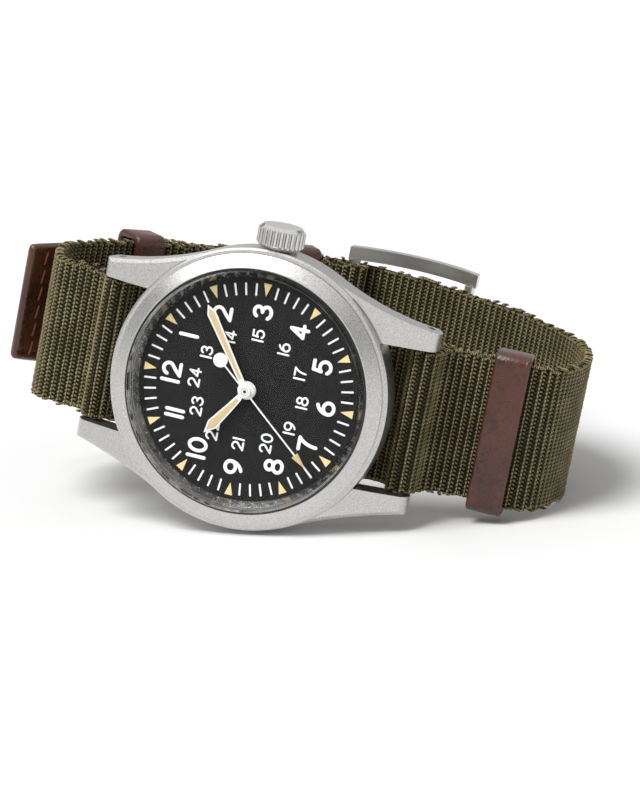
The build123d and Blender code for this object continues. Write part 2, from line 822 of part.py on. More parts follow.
def seconds_wheel():
    """The seconds arbor, which runs through the hollow centre arbor to the hand."""
    rim = escape_module * (seconds_teeth / 2 - rim_depth_in_modules)
    wheel = gear(seconds_teeth, escape_module, seconds_bottom, seconds_top, centre, seconds_phase)
    wheel = crossed(wheel, rim, 4 * arbor_radius, wheel_arms, seconds_bottom, seconds_top)
    wheel += gear(seconds_pinion_teeth, third_module, seconds_pinion_bottom, seconds_pinion_top, centre, seconds_phase)
    wheel += disc(arbor_radius, seconds_bottom, seconds_hand_level)
    return wheel + pivots(train_bridge_top - jewel_height, seconds_bottom, centre)


def escape_wheel():
    """Twenty pointed teeth on a crossed wheel, with the pinion that the seconds wheel drives."""
    root = escape_radius * escape_root_share
    tooth = (
        (0.0, root),
        (escape_tooth_back_share, escape_radius),
        (escape_tooth_tip_share, escape_radius),
        (escape_tooth_front_share, root),
    )
    outline = []
    for index in range(escape_teeth):
        angle = 360 * index / escape_teeth
        for share, radius in tooth:
            outline.append(polar(radius, angle + 360 / escape_teeth * share))
    wheel = Pos(*escape_at, 0) * plate(outline, escape_bottom, escape_top)
    wheel = crossed(wheel, root - wheel_thickness, 3 * arbor_radius, wheel_arms, escape_bottom, escape_top, escape_at)
    pinion_bottom = seconds_bottom - level_gap
    pinion_top = seconds_top + level_gap
    wheel += gear(escape_pinion_teeth, escape_module, pinion_bottom, pinion_top, escape_at, escape_phase)
    wheel += disc(arbor_radius, pinion_bottom, escape_top, escape_at)
    return wheel + pivots(train_bridge_top - jewel_height, plate_back + jewel_height, escape_at)


def pallet_fork():
    """The anchor with its two stones, and the fork that takes the impulse pin."""
    fork_end = polar(pallet_to_balance - impulse_pin_distance + impulse_pin_radius, bearing(pallet_at, balance_at), pallet_at)
    body = bar_between(pallet_at, fork_end, fork_half_width, pallet_bottom, pallet_top)
    body += disc(2 * fork_half_width, pallet_bottom, pallet_top, pallet_at)
    slot = Box(2 * fork_slot_length, fork_slot_width, pallet_top - pallet_bottom, align=(Align.CENTER, Align.CENTER, Align.MIN))
    slot_at = polar(pallet_to_balance - impulse_pin_distance + fork_slot_length - impulse_pin_radius, bearing(pallet_at, balance_at), pallet_at)
    body -= Pos(*slot_at, pallet_bottom) * Rot(0, 0, bearing(pallet_at, balance_at)) * slot
    for side in (-1, 1):
        angle = bearing(escape_at, pallet_at) + side * pallet_span / 2
        stone_at = polar(escape_radius + stone_width / 2, angle, escape_at)
        body += bar_between(pallet_at, stone_at, fork_half_width, pallet_bottom, pallet_top)
        stone = Box(stone_length, stone_width, escape_top - pallet_top, align=(Align.CENTER, Align.CENTER, Align.MIN))
        body += Pos(*stone_at, pallet_top) * Rot(0, 0, angle) * stone
    body += disc(arbor_radius, pallet_bottom, escape_top, pallet_at)
    return body + pivots(pallet_bridge_top - jewel_height, plate_back + jewel_height, pallet_at)


def balance_wheel():
    """Rim, arms, staff, collet and roller; the impulse pin stands in the fork's slot."""
    rim = balance_radius - balance_rim_width
    wheel = disc(balance_radius, balance_bottom, balance_top, balance_at)
    wheel = crossed(wheel, rim, 2 * collet_radius, balance_arms, balance_bottom, balance_top, balance_at)
    wheel += disc(arbor_radius, train_bridge_top + level_gap, escape_top, balance_at)
    wheel += disc(collet_radius, balance_bottom - hairspring_height - level_gap, balance_bottom, balance_at)
    wheel += disc(roller_radius, roller_bottom, roller_top, balance_at)
    pin_at = polar(impulse_pin_distance, bearing(balance_at, pallet_at), balance_at)
    wheel += disc(impulse_pin_radius, roller_top, pallet_top, pin_at)
    return wheel + pivots(train_bridge_top - jewel_height, plate_back + jewel_height, balance_at)


def hairspring():
    """The flat spiral from beside the collet out to the stud on the balance cock."""
    top = balance_bottom - level_gap
    bottom = top - hairspring_height
    inner = collet_radius + hairspring_thickness + level_gap
    spring = flat_spiral(inner, hairspring_radius, hairspring_turns, hairspring_thickness, bottom, top, balance_at)
    stud_at = (balance_at[0] + hairspring_radius, balance_at[1])
    return spring + disc(2 * hairspring_thickness, train_bridge_top, top, stud_at)


# Motion works

def cannon_pinion():
    pinion = gear(cannon_teeth, motion_module, motion_bottom, motion_middle, centre, centre_phase)
    pinion += disc(cannon_radius, motion_bottom, minute_hand_level + hand_thickness)
    return pinion - disc(centre_arbor_radius, motion_bottom, minute_hand_level + hand_thickness)


def minute_wheel():
    wheel = gear(minute_wheel_teeth, motion_module, motion_bottom, motion_middle, minute_wheel_at, minute_wheel_phase)
    wheel += gear(minute_pinion_teeth, hour_module, motion_middle, hour_wheel_top, minute_wheel_at, minute_wheel_phase)
    return wheel - disc(arbor_radius + running_gap, motion_bottom, hour_wheel_top, minute_wheel_at)


def hour_wheel():
    wheel = gear(hour_wheel_teeth, hour_module, hour_wheel_bottom, hour_wheel_top, centre, hour_phase)
    wheel += disc(hour_pipe_radius, hour_wheel_bottom, hour_hand_level + hand_thickness)
    return wheel - disc(cannon_radius + running_gap, hour_wheel_bottom, hour_hand_level + hand_thickness)


def setting_wheel():
    wheel = gear(setting_wheel_teeth, motion_module, motion_bottom, motion_middle, setting_at, setting_phase)
    return wheel - disc(arbor_radius + running_gap, motion_bottom, motion_middle, setting_at)


# Winding and setting parts

def along_stem(flat, x):
    """A solid drawn about Z at the origin, laid along the stem from a place on it."""
    return Pos(x, 0, stem_z) * Rot(0, 90, 0) * flat


def winding_pinion():
    pinion = gear(winding_pinion_teeth, winding_module, 0, winding_pinion_width)
    return along_stem(pinion - disc(stem_radius + running_gap, 0, winding_pinion_width), winding_pinion_x)


def sliding_pinion():
    """The clutch on the stem's square, with the groove for the yoke's finger."""
    body = ring(clutch_radius, stem_radius + running_gap, 0, clutch_length)
    middle = clutch_length / 2
    low = middle - clutch_groove_width / 2
    body -= ring(clutch_radius, clutch_radius - clutch_groove_width, low, low + clutch_groove_width)
    return along_stem(body, clutch_x)


def yoke():
    """The lever whose finger sits in the sliding pinion's groove, cranked to pass the setting wheel."""
    x = clutch_x + clutch_length / 2
    leg_x = x + clutch_groove_width
    finger_y = clutch_radius - clutch_groove_width / 2
    leg_y = clutch_radius + clutch_groove_width
    thin = clutch_groove_width / 2
    arm_start = motion_module * (setting_wheel_teeth / 2 + 1) + yoke_half_width / 2
    body = bar_between((leg_x, arm_start), (leg_x, yoke_pivot_y), yoke_half_width, motion_bottom, motion_middle)
    leg = Box(thin, thin, motion_middle - stem_z, align=(Align.CENTER, Align.MAX, Align.MIN))
    body += Pos(leg_x, leg_y, stem_z) * leg
    crank = Box(leg_x - x + thin, thin, clutch_groove_width, align=(Align.CENTER, Align.MAX, Align.CENTER))
    body += Pos((x + leg_x) / 2, leg_y, stem_z) * crank
    finger = Box(thin, leg_y - finger_y, clutch_groove_width, align=(Align.CENTER, Align.MIN, Align.CENTER))
    return body + Pos(x, finger_y, stem_z) * finger


def setting_lever():
    """The lever whose pin stands in the stem's groove."""
    pin_at = (stem_groove_x + stem_groove_width / 2, 0)
    pivot_at = (pin_at[0], setting_lever_reach)
    body = bar_between(pivot_at, pin_at, setting_lever_half_width, motion_bottom, motion_middle)
    return body + disc(setting_pin_radius, stem_z + stem_groove_radius + running_gap, motion_bottom, pin_at)


def crown_wheel():
    wheel = gear(crown_wheel_teeth, winding_module, ratchet_bottom, ratchet_top, crown_wheel_at, crown_wheel_phase)
    lower_top = stem_z - winding_module * (winding_pinion_teeth / 2 + addendum_share) - level_gap
    wheel += disc(crown_wheel_radius - 2 * winding_module, ratchet_top, lower_top, crown_wheel_at)
    return wheel - disc(crown_wheel_core + running_gap, ratchet_bottom, lower_top, crown_wheel_at)


def ratchet_wheel():
    wheel = gear(ratchet_teeth, winding_module, ratchet_bottom, ratchet_top, barrel_at)
    return wheel - disc(barrel_arbor_radius, ratchet_bottom, ratchet_top, barrel_at)


def click():
    body = bar_between(click_pivot_at, click_tip_at, click_half_width, ratchet_bottom, ratchet_top)
    return body - disc(screw_radius + running_gap, ratchet_bottom, ratchet_top, click_pivot_at)


# Plates, bridges and what holds them

wheel_bearings = {
    "third": (third_at, plate_back + wheel_recess_depth, train_bridge_top),
    "escape": (escape_at, plate_back, train_bridge_top),
    "balance": (balance_at, plate_back, train_bridge_top),
    "pallet": (pallet_at, plate_back, pallet_bridge_top),
    "centre": (centre, None, train_bridge_top),
}
bridge_feet = barrel_feet + train_feet + [balance_foot_at]


def jewels():
    """Pierced stones for the pivots, a pair to each arbor, one in the plate and one in a bridge."""
    stones = []
    for at, plate_face, bridge_face in wheel_bearings.values():
        stones.append(ring(jewel_radius, pivot_radius + pivot_gap, bridge_face - jewel_height, bridge_face, at))
        if plate_face is not None:
            stones.append(ring(jewel_radius, pivot_radius + pivot_gap, plate_face, plate_face + jewel_height, at))
    return Compound(stones)


def screw_places():
    """Each screw of the movement: its place, its head's outer face and the length of its shank."""
    outer = [(at, movement_bottom) for at in bridge_feet]
    return outer + [(pallet_foot_at, pallet_bridge_bottom - screw_head_height)]


def screw_cut(at, face):
    body = disc(screw_head_radius, face, face + screw_head_height, at)
    return body + disc(screw_radius, face, plate_back + jewel_height, at)


def movement_screws():
    """The slotted screws that hold the bridges to the main plate."""
    screws = []
    for at, face in screw_places():
        slot = Box(3 * screw_head_radius, screw_slot_width, screw_head_height, align=(Align.CENTER, Align.CENTER, Align.CENTER))
        screws.append(screw_cut(at, face) - Pos(*at, face) * slot)
    return Compound(screws)


def main_plate():
    """The plate that carries everything: motion works on the dial side, train on the other."""
    body = disc(movement_radius, plate_back, movement_top)
    body -= disc(centre_arbor_radius + running_gap, plate_back, movement_top)
    hour_tip = hour_module * (hour_wheel_teeth / 2 + 1)
    minute_tip = motion_module * (minute_wheel_teeth / 2 + 1)
    setting_tip = motion_module * (setting_wheel_teeth / 2 + 1)
    body -= disc(hour_tip + level_gap, motion_floor, movement_top)
    body -= disc(minute_tip + level_gap, motion_floor, movement_top, minute_wheel_at)
    body -= disc(setting_tip + level_gap, motion_floor, movement_top, setting_at)
    body += disc(arbor_radius, motion_floor, hour_wheel_top, minute_wheel_at)
    body += disc(arbor_radius, motion_floor, motion_middle, setting_at)
    lever_end = (stem_groove_x + stem_groove_width / 2, setting_lever_reach)
    body -= bar_between(lever_end, (lever_end[0], 0), setting_lever_reach / 2, motion_floor, movement_top)
    body -= bar_between((clutch_x, 0), (clutch_x, yoke_pivot_y), clutch_length, motion_floor, movement_top)
    centre_tip = centre_module * (centre_teeth / 2 + 1)
    recess_floor = plate_back + wheel_recess_depth
    body -= disc(centre_tip + level_gap, plate_back, recess_floor)
    body -= disc(centre_module * third_pinion_teeth, plate_back, recess_floor, third_at)
    body += ring(barrel_boss_radius, barrel_arbor_radius + running_gap, plate_back, plate_back + jewel_height, barrel_at)
    body -= disc(barrel_arbor_radius + running_gap, plate_back, plate_back + jewel_height, barrel_at)
    slot_half = winding_module * (winding_pinion_teeth / 2 + 1) + running_gap
    slot_start = clutch_x - clutch_travel - running_gap
    slot_end = winding_pinion_x + winding_pinion_width + running_gap
    slot = Box(slot_end - slot_start, 2 * slot_half, movement_height, align=(Align.MIN, Align.CENTER, Align.MAX))
    body -= Pos(slot_start, 0, stem_z + slot_half) * slot
    body -= rod(stem_radius + running_gap, stem_pivot_end_x - running_gap, movement_radius + cut_overrun)
    pin_slot = Box(2 * crown_pull_travel, 2 * setting_pin_radius + 2 * crown_pull_travel, plate_thickness)
    body -= Pos(lever_end[0] + crown_pull_travel / 2, 0, (motion_floor + plate_back) / 2) * pin_slot
    for at, plate_face, bridge_face in wheel_bearings.values():
        if plate_face is not None:
            body -= disc(jewel_radius, plate_face, plate_face + jewel_height, at)
    for at in bridge_feet + [pallet_foot_at]:
        body -= disc(screw_radius, plate_back, plate_back + jewel_height, at)
    return body


def bridge(outline, feet, top):
    """A bridge cut to the movement's edge, with pillars down to the main plate and its screw holes."""
    body = outline & disc(movement_radius, movement_bottom, top)
    for at in feet:
        pillar = disc(pillar_radius, movement_bottom, plate_back, at)
        body += pillar & disc(movement_radius, movement_bottom, plate_back)
        body -= screw_cut(at, movement_bottom)
    return body


def barrel_bridge():
    edge = movement_radius
    low = balance_at[1] + balance_radius + barrel_bridge_gap
    outline = plate(
        ((-edge, bridge_line_y), (bridge_line_x, bridge_line_y), (bridge_line_x, low), (edge, low), (edge, edge), (-edge, edge)),
        movement_bottom,
        barrel_bridge_top,
    )
    outline -= disc(escape_module * (seconds_teeth / 2 + 1) + level_gap, movement_bottom, barrel_bridge_top)
    body = bridge(outline, barrel_feet, barrel_bridge_top)
    recess_top = ratchet_top + level_gap
    body -= disc(ratchet_radius + 2 * winding_module, movement_bottom, recess_top, barrel_at)
    for click_end in (click_tip_at, click_lifted_at):
        body -= bar_between(click_pivot_at, click_end, 2 * click_half_width, movement_bottom, recess_top)
    body += disc(screw_radius, ratchet_bottom, recess_top, click_pivot_at)
    wheel_room = crown_wheel_radius + 2 * winding_module
    body -= disc(wheel_room, movement_bottom, recess_top, crown_wheel_at)
    lower_top = stem_z - winding_module * (winding_pinion_teeth / 2 + addendum_share)
    body -= disc(crown_wheel_radius, movement_bottom, lower_top, crown_wheel_at)
    body += disc(crown_wheel_core, ratchet_bottom, barrel_bridge_top, crown_wheel_at)
    body -= disc(barrel_arbor_radius + running_gap, movement_bottom, barrel_bridge_top, barrel_at)
    pinion_room = winding_module * (winding_pinion_teeth / 2 + 1) + running_gap
    room = rod(pinion_room, clutch_x - clutch_travel - running_gap, winding_pinion_x + winding_pinion_width + running_gap)
    return body - room


def train_bridge():
    arm = jewel_radius + wheel_arm_width
    outer = movement_radius
    west = polar(outer, train_foot_places[0][1] - train_bridge_west_turn)
    south = polar(outer, train_foot_places[1][1] + train_bridge_south_turn)
    corners = (
        (-arm, arm),
        (arm, arm),
        (arm, escape_at[1] - arm),
        (pallet_foot_at[0], escape_at[1] - 2 * arm),
        south,
        polar(2 * outer, train_foot_places[1][1]),
        polar(2 * outer, train_foot_places[0][1]),
        west,
    )
    body = bridge(plate(corners, movement_bottom, train_bridge_top), train_feet, train_bridge_top)
    for name in ("third", "escape", "centre"):
        at = wheel_bearings[name][0]
        body -= disc(jewel_radius, train_bridge_top - jewel_height, train_bridge_top, at)
    return body


def balance_cock():
    outline = bar_between(balance_at, balance_foot_at, pillar_radius, movement_bottom, train_bridge_top)
    stud_at = (balance_at[0] + hairspring_radius, balance_at[1])
    outline += bar_between(balance_at, stud_at, screw_radius, movement_bottom, train_bridge_top)
    body = bridge(outline, [balance_foot_at], train_bridge_top)
    return body - disc(jewel_radius, train_bridge_top - jewel_height, train_bridge_top, balance_at)


def pallet_bridge():
    body = bar_between(pallet_at, pallet_foot_at, pallet_pillar_radius, pallet_bridge_bottom, pallet_bridge_top)
    body += disc(pallet_pillar_radius, pallet_bridge_bottom, plate_back, pallet_foot_at)
    body -= disc(screw_radius, pallet_bridge_bottom, plate_back, pallet_foot_at)
    return body - disc(jewel_radius, pallet_bridge_top - jewel_height, pallet_bridge_top, pallet_at)


def movement_ring():
    """The spacer that centres the movement in the case and carries the dial's edge."""
    body = ring(case_bore_radius - level_gap, movement_radius + level_gap, movement_bottom, movement_top)
    return body - rod(tube_outer_radius + running_gap, movement_radius, case_bore_radius + cut_overrun)


def casing_clamps():
    clamps = []
    for angle in clamp_angles:
        start = polar(clamp_inner_distance, angle)
        end = polar(clamp_inner_distance + clamp_length - 2 * clamp_half_width, angle)
        clamp = bar_between(start, end, clamp_half_width, movement_bottom - clamp_thickness, movement_bottom)
        clamps.append(clamp)
    return Compound(clamps)


# Hands

def hand(outline, clock_angle, level):
    """A flat hand drawn pointing to 12 and turned clockwise to its place."""
    return Pos(0, 0, level) * Rot(0, 0, -clock_angle) * extrude(outline, hand_thickness)


def pointed_outline(length, widest, half_width, root_half_width):
    return make_face(Polyline(
        (root_half_width, 0),
        (half_width, widest),
        (0, length),
        (-half_width, widest),
        (-root_half_width, 0),
        close=True,
    ))


def hour_hand():
    blade = pointed_outline(hour_hand_length, hour_hand_widest, hour_hand_half_width, hour_hand_root_half_width)
    return hand(blade + Circle(hour_hub_radius) - Circle(hour_pipe_radius), hour_hand_clock_angle, hour_hand_level)


def minute_hand():
    blade = pointed_outline(minute_hand_length, minute_hand_widest, minute_hand_half_width, minute_hand_root_half_width)
    return hand(blade + Circle(minute_hub_radius) - Circle(cannon_radius), minute_hand_clock_angle, minute_hand_level)


def seconds_hand():
    tail = -seconds_counter_distance
    length = seconds_hand_length - tail
    outline = Pos(0, tail + length / 2) * Rectangle(2 * seconds_hand_half_width, length)
    outline += Pos(0, tail) * Circle(seconds_counter_radius)
    outline += Circle(seconds_hub_radius)
    outline += make_face(Polyline(
        (-seconds_arrow_half_width, seconds_arrow_tail),
        (seconds_arrow_half_width, seconds_arrow_tail),
        (0, seconds_arrow_tip),
        close=True,
    ))
    body = hand(outline, seconds_hand_clock_angle, seconds_hand_level)
    return body + disc(seconds_hub_radius, seconds_hand_level, seconds_hub_top)


# Spring bars

def spring_bars():
    """The two tubes that the strap runs over, drawn in at the ends to keep the plungers."""
    end = strap_gap_half - bar_end_gap
    tubes = []
    for side in (-1, 1):
        tube = rod(bar_radius, -end, end, side * bar_y, bar_z)
        tube -= rod(bar_bore_radius, -end + bar_cap_length, end - bar_cap_length, side * bar_y, bar_z)
        tube -= rod(plunger_radius + running_gap, -end, end, side * bar_y, bar_z)
        tubes.append(tube)
    return Compound(tubes)


def plunger(side_x, side_y):
    """One spring-loaded end pin, reaching into its lug's hole."""
    y = side_y * bar_y
    shoulder = strap_gap_half - bar_end_gap - bar_cap_length
    pin = rod(plunger_radius, shoulder, strap_gap_half + plunger_reach, y, bar_z)
    pin += rod(plunger_collar_radius, shoulder - plunger_collar_length, shoulder, y, bar_z)
    return pin if side_x > 0 else mirror(pin, Plane.YZ)


def plunger_springs():
    """The coil in each spring bar, drawn as the sleeve that its turns fill."""
    end = strap_gap_half - bar_end_gap - bar_cap_length - plunger_collar_length
    inner = plunger_collar_radius - thin_wheel_thickness
    coils = []
    for side in (-1, 1):
        outer = rod(plunger_collar_radius, -end, end, side * bar_y, bar_z)
        coils.append(outer - rod(inner, -end, end, side * bar_y, bar_z))
    return Compound(coils)


# Strap: every outline lies in the plane of Y and Z and is drawn out along X

def place_from_share(share):
    reach = loop_reach_12 if share[0] > 0 else loop_reach_6
    return share[0] * reach, share[1] * loop_depth


def beside(curve, position, depth):
    """The point at a depth under a curve's face, on its left as it runs."""
    point = curve @ position
    tangent = curve % position
    length = math.hypot(tangent.X, tangent.Y)
    return point.X - tangent.Y / length * depth, point.Y + tangent.X / length * depth


def where_y(curve, y, start=0.0, end=1.0):
    """How far along a curve, looking from one of its shares to another, it passes a value of Y."""
    steps = curve_search_steps
    spans = [start + (end - start) * index / steps for index in range(steps + 1)]
    begins_below = (curve @ start).X < y
    for position in spans:
        if ((curve @ position).X < y) != begins_below:
            return position
    return end


def band_face(curve, start, end, depth_from, depth_to):
    """The strip beside a curve between two depths, from one of its shares to another."""
    steps = max(fewest_strap_steps, int(abs(end - start) * curve.length / strap_step))
    spans = [start + (end - start) * index / steps for index in range(steps + 1)]
    near = Spline(*[beside(curve, position, depth_from) for position in spans])
    far = Spline(*[beside(curve, position, depth_to) for position in spans])
    return make_face([near, Line(near @ 1, far @ 1), far, Line(far @ 0, near @ 0)])


def drawn_out(face, width):
    """A strip's outline drawn out to both sides of the strap's middle."""
    return extrude(Plane.YZ * face, width / 2, both=True)


fold_radius = buckle_bar_radius + layer_gap + strap_thickness
buckle_bar_z = -loop_depth + strap_thickness + layer_gap + fold_radius
tail_curve = Spline(*[place_from_share(share) for share in tail_shares])
leather_start = where_y(tail_curve, leather_start_share * loop_reach_12, 0.5)


def tail_position(y_share):
    return where_y(tail_curve, y_share * loop_reach_12, 0.5)


def over_bar_points(side):
    """The strap's outer face round a spring bar, from its side away from the case to the case."""
    radius = bar_radius + layer_gap + strap_thickness
    points = [polar(radius, angle, (bar_y, bar_z)) for angle in bar_wrap_angles]
    return [(side * y, z) for y, z in points]


def main_curve():
    """The outer face of the strap's long piece: fold, lower layer, bend, bars and the way round."""
    layer = strap_thickness + layer_gap
    lifts = ((fold_end_share, fold_end_lift), (fold_middle_share, fold_middle_lift))
    points = [beside(tail_curve, tail_position(share), 3 * layer + lift) for share, lift in lifts]
    points += [polar(fold_radius, angle, (buckle_bar_y, buckle_bar_z)) for angle in fold_wrap_angles]
    points += [beside(tail_curve, tail_position(share), layer) for share in lower_layer_shares]
    under_leather = leather_thickness + 2 * layer_gap
    points += [beside(tail_curve, tail_position(share), under_leather) for share in lower_bend_shares]
    points += [place_from_share(share) for share in bend_shares]
    over_twelve = over_bar_points(1)
    over_six = over_bar_points(-1)
    outer_y = over_twelve[0][0]
    inner_y = over_twelve[-1][0]
    corner = dip_corner * corner_share
    points += [(outer_y + dip_corner, outward_level_12), (outer_y + corner, outward_level_12 + corner)]
    points += over_twelve
    flat_half = inner_y - dip_corner
    points.append((inner_y - corner, strap_level + corner))
    points += [(flat_half * share, strap_level) for share in behind_case_shares]
    points.append((corner - inner_y, strap_level + corner))
    points += over_six[::-1]
    points += [(-outer_y - corner, outward_level_6 + dip_corner), (-outer_y - dip_corner, outward_level_6 + corner)]
    points += [place_from_share(share) for share in tail_shares[:tail_textile_points]]
    points.append(tuple(tail_curve @ leather_start)[:2])
    return Spline(*points)


strap_curve = main_curve()
under_curve = Spline(*[place_from_share(share) for share in under_shares])


def strap_long():
    """The textile strap, slotted at the buckle for the tang."""
    body = drawn_out(band_face(strap_curve, 0, 1, 0, strap_thickness), strap_width)
    slot_width = tang_width + 2 * tang_slot_clearance
    loop_slot = Box(slot_width, 2 * fold_radius + layer_gap, 2 * fold_radius)
    body -= Pos(0, buckle_bar_y, buckle_bar_z + layer_gap / 2) * loop_slot
    hole_length = tang_hole_before + tang_hole_after
    hole = Box(slot_width, hole_length, 2 * fold_radius, align=(Align.CENTER, Align.MIN, Align.MAX))
    return body - Pos(0, buckle_bar_y - tang_hole_before, buckle_bar_z) * hole


def strap_under():
    """The short band behind the case, sewn to the strap at one end and to its keeper at the other."""
    return drawn_out(band_face(under_curve, 0, 1, 0, strap_thickness), strap_width)


def leather_tip():
    """The leather end of the strap, which narrows to its square tip."""
    body = drawn_out(band_face(tail_curve, leather_start, 1, 0, leather_thickness), strap_width)
    start_y = (tail_curve @ leather_start).X - leather_thickness
    end_y = (tail_curve @ 1).X + leather_thickness
    taper = plate(
        (
            (strap_width / 2, start_y),
            (leather_tip_width / 2, end_y),
            (-leather_tip_width / 2, end_y),
            (-strap_width / 2, start_y),
        ),
        -loop_depth,
        0,
    )
    return body & taper


def keeper(curve, y, depth_from, depth_to):
    """A flat leather ring round the layers between two depths under one place of a curve."""
    position = where_y(curve, y, 0.5 if y > 0 else 0)
    tangent = curve % position
    stack = depth_to - depth_from
    middle_y, middle_z = beside(curve, position, (depth_from + depth_to) / 2)
    hole_width = strap_width + 2 * keeper_clearance
    hole_height = stack + 2 * keeper_clearance
    outer = Box(hole_width + 2 * keeper_wall, keeper_length, hole_height + 2 * keeper_wall)
    outer = fillet(outer.edges().filter_by(Axis.Y), keeper_rounding)
    body = outer - Box(hole_width, 2 * keeper_length, hole_height)
    turn = math.degrees(math.atan2(tangent.Y, tangent.X))
    return Pos(0, middle_y, middle_z) * Rot(turn, 0, 0) * body


def keeper_lug():
    """The keeper sewn to the end of the short band, round the strap beside the lugs."""
    return keeper(under_curve, lug_keeper_y, -strap_thickness - under_gap, strap_thickness)


def keeper_buckle():
    """The keeper sewn to the strap behind the buckle, round both layers."""
    return keeper(tail_curve, buckle_keeper_y, 0, 2 * strap_thickness + layer_gap)


def keeper_free():
    """The loose keeper on the strap's bend, which holds the leather end down."""
    return keeper(tail_curve, free_keeper_y, 0, leather_thickness + strap_thickness + keeper_slack)


# Buckle

def buckle_far_bar_z():
    """The far bar lies on the strap's outer face."""
    position = where_y(tail_curve, buckle_far_bar_y)
    return (tail_curve @ position).Y - layer_gap - buckle_far_bar_radius


def buckle_frame():
    """Two arched side bars, the bar that the strap is folded round and the far bar."""
    far_z = buckle_far_bar_z()
    near_end = buckle_bar_y + buckle_overhang
    far_end = buckle_far_bar_y - buckle_overhang
    middle = (near_end + far_end) / 2
    outer_near = (near_end, buckle_bar_z - buckle_side_height / 2)
    outer_far = (far_end, far_z - buckle_side_height / 2)
    inner_near = (near_end, outer_near[1] + buckle_side_height)
    inner_far = (far_end, outer_far[1] + buckle_side_height)
    crest = min(outer_near[1], outer_far[1]) - buckle_arch
    outer = ThreePointArc(outer_far, (middle, crest), outer_near)
    inner = ThreePointArc(inner_near, (middle, crest + buckle_side_height), inner_far)
    face = make_face([outer, Line(outer_near, inner_near), inner, Line(inner_far, outer_far)])
    side = extrude(Plane.YZ * face, buckle_side_width)
    start = buckle_half_width - buckle_side_width
    body = Pos(start, 0, 0) * side + Pos(-buckle_half_width, 0, 0) * side
    body += rod(buckle_bar_radius, -start, start, buckle_bar_y, buckle_bar_z)
    return body + rod(buckle_far_bar_radius, -start, start, buckle_far_bar_y, far_z)


def buckle_tang():
    """The prong: an eye round the bar, a leg through the strap's hole and a point on the far bar."""
    eye_outer = buckle_bar_radius + running_gap + tang_thickness
    far_z = buckle_far_bar_z() - buckle_far_bar_radius - layer_gap
    tip_y = buckle_far_bar_y - buckle_far_bar_radius
    elbow_z = -loop_depth - tang_lift
    outline = Polyline(
        (buckle_bar_y, buckle_bar_z),
        (buckle_bar_y, buckle_bar_z - eye_outer),
        (tang_elbow_y + tang_thickness / 2, elbow_z - tang_thickness),
        (tang_elbow_y, elbow_z - tang_thickness),
        (tip_y, far_z - tang_thickness / 2),
        (tip_y, far_z),
        (tang_elbow_y - tang_thickness / 2, elbow_z),
        (buckle_bar_y - eye_outer, buckle_bar_z),
        close=True,
    )
    body = extrude(Plane.YZ * make_face(outline), tang_width / 2, both=True)
    half = tang_width / 2
    body += rod(eye_outer, -half, half, buckle_bar_y, buckle_bar_z)
    return body - rod(buckle_bar_radius + running_gap, -half, half, buckle_bar_y, buckle_bar_z)


# The watch laid on its side

def resting_place():
    """The location that lays the watch down on its flank, its buckle and its strap's bend."""
    strap_low = min(tail_shares, key=lambda share: share[0])
    strap_point = Vector(-strap_width / 2, *place_from_share(strap_low))
    buckle_point = Vector(-buckle_half_width, buckle_far_bar_y - buckle_overhang, buckle_far_bar_z() - buckle_side_height / 2)
    up = Vector(1, 0, 0)
    for _ in range(20):
        flank = polar(case_radius, math.degrees(math.atan2(up.Y, up.X)) + 180)
        case_point = Vector(*flank, case_flank_bottom)
        up = (buckle_point - case_point).cross(strap_point - case_point).normalized()
        up = up if up.X > 0 else -up
    right = (Vector(0, -1, 0) + up * up.Y).normalized()
    back = up.cross(right)
    table = Plane(
        origin=(0, 0, 0),
        x_dir=(right.X, back.X, up.X),
        z_dir=(right.Z, back.Z, up.Z),
    )
    return table.location


parts = {
    "case_body": case_body,
    "bezel": bezel,
    "crystal": crystal,
    "crystal_gasket": crystal_gasket,
    "rehaut_ring": rehaut_ring,
    "dial": dial,
    "case_back": case_back,
    "back_gasket": back_gasket,
    "crown_tube": crown_tube,
    "crown_gasket": crown_gasket,
    "crown": crown,
    "winding_stem": winding_stem,
    "main_plate": main_plate,
    "barrel_bridge": barrel_bridge,
    "train_bridge": train_bridge,
    "pallet_bridge": pallet_bridge,
    "balance_cock": balance_cock,
    "movement_ring": movement_ring,
    "casing_clamps": casing_clamps,
    "movement_screws": movement_screws,
    "jewels": jewels,
    "barrel_drum": barrel_drum,
    "barrel_cover": barrel_cover,
    "barrel_arbor": barrel_arbor,
    "mainspring": mainspring,
    "ratchet_wheel": ratchet_wheel,
    "crown_wheel": crown_wheel,
    "click": click,
    "winding_pinion": winding_pinion,
    "sliding_pinion": sliding_pinion,
    "yoke": yoke,
    "setting_lever": setting_lever,
    "setting_wheel": setting_wheel,
    "centre_wheel": centre_wheel,
    "third_wheel": third_wheel,
    "seconds_wheel": seconds_wheel,
    "escape_wheel": escape_wheel,
    "pallet_fork": pallet_fork,
    "balance_wheel": balance_wheel,
    "hairspring": hairspring,
    "cannon_pinion": cannon_pinion,
    "minute_wheel": minute_wheel,
    "hour_wheel": hour_wheel,
    "hour_hand": hour_hand,
    "minute_hand": minute_hand,
    "seconds_hand": seconds_hand,
    "spring_bars": spring_bars,
    "plunger_springs": plunger_springs,
    "plunger_1": lambda: plunger(1, 1),
    "plunger_2": lambda: plunger(1, -1),
    "plunger_3": lambda: plunger(-1, 1),
    "plunger_4": lambda: plunger(-1, -1),
    "strap_long": strap_long,
    "strap_under": strap_under,
    "leather_tip": leather_tip,
    "keeper_lug": keeper_lug,
    "keeper_buckle": keeper_buckle,
    "keeper_free": keeper_free,
    "buckle_frame": buckle_frame,
    "buckle_tang": buckle_tang,
}

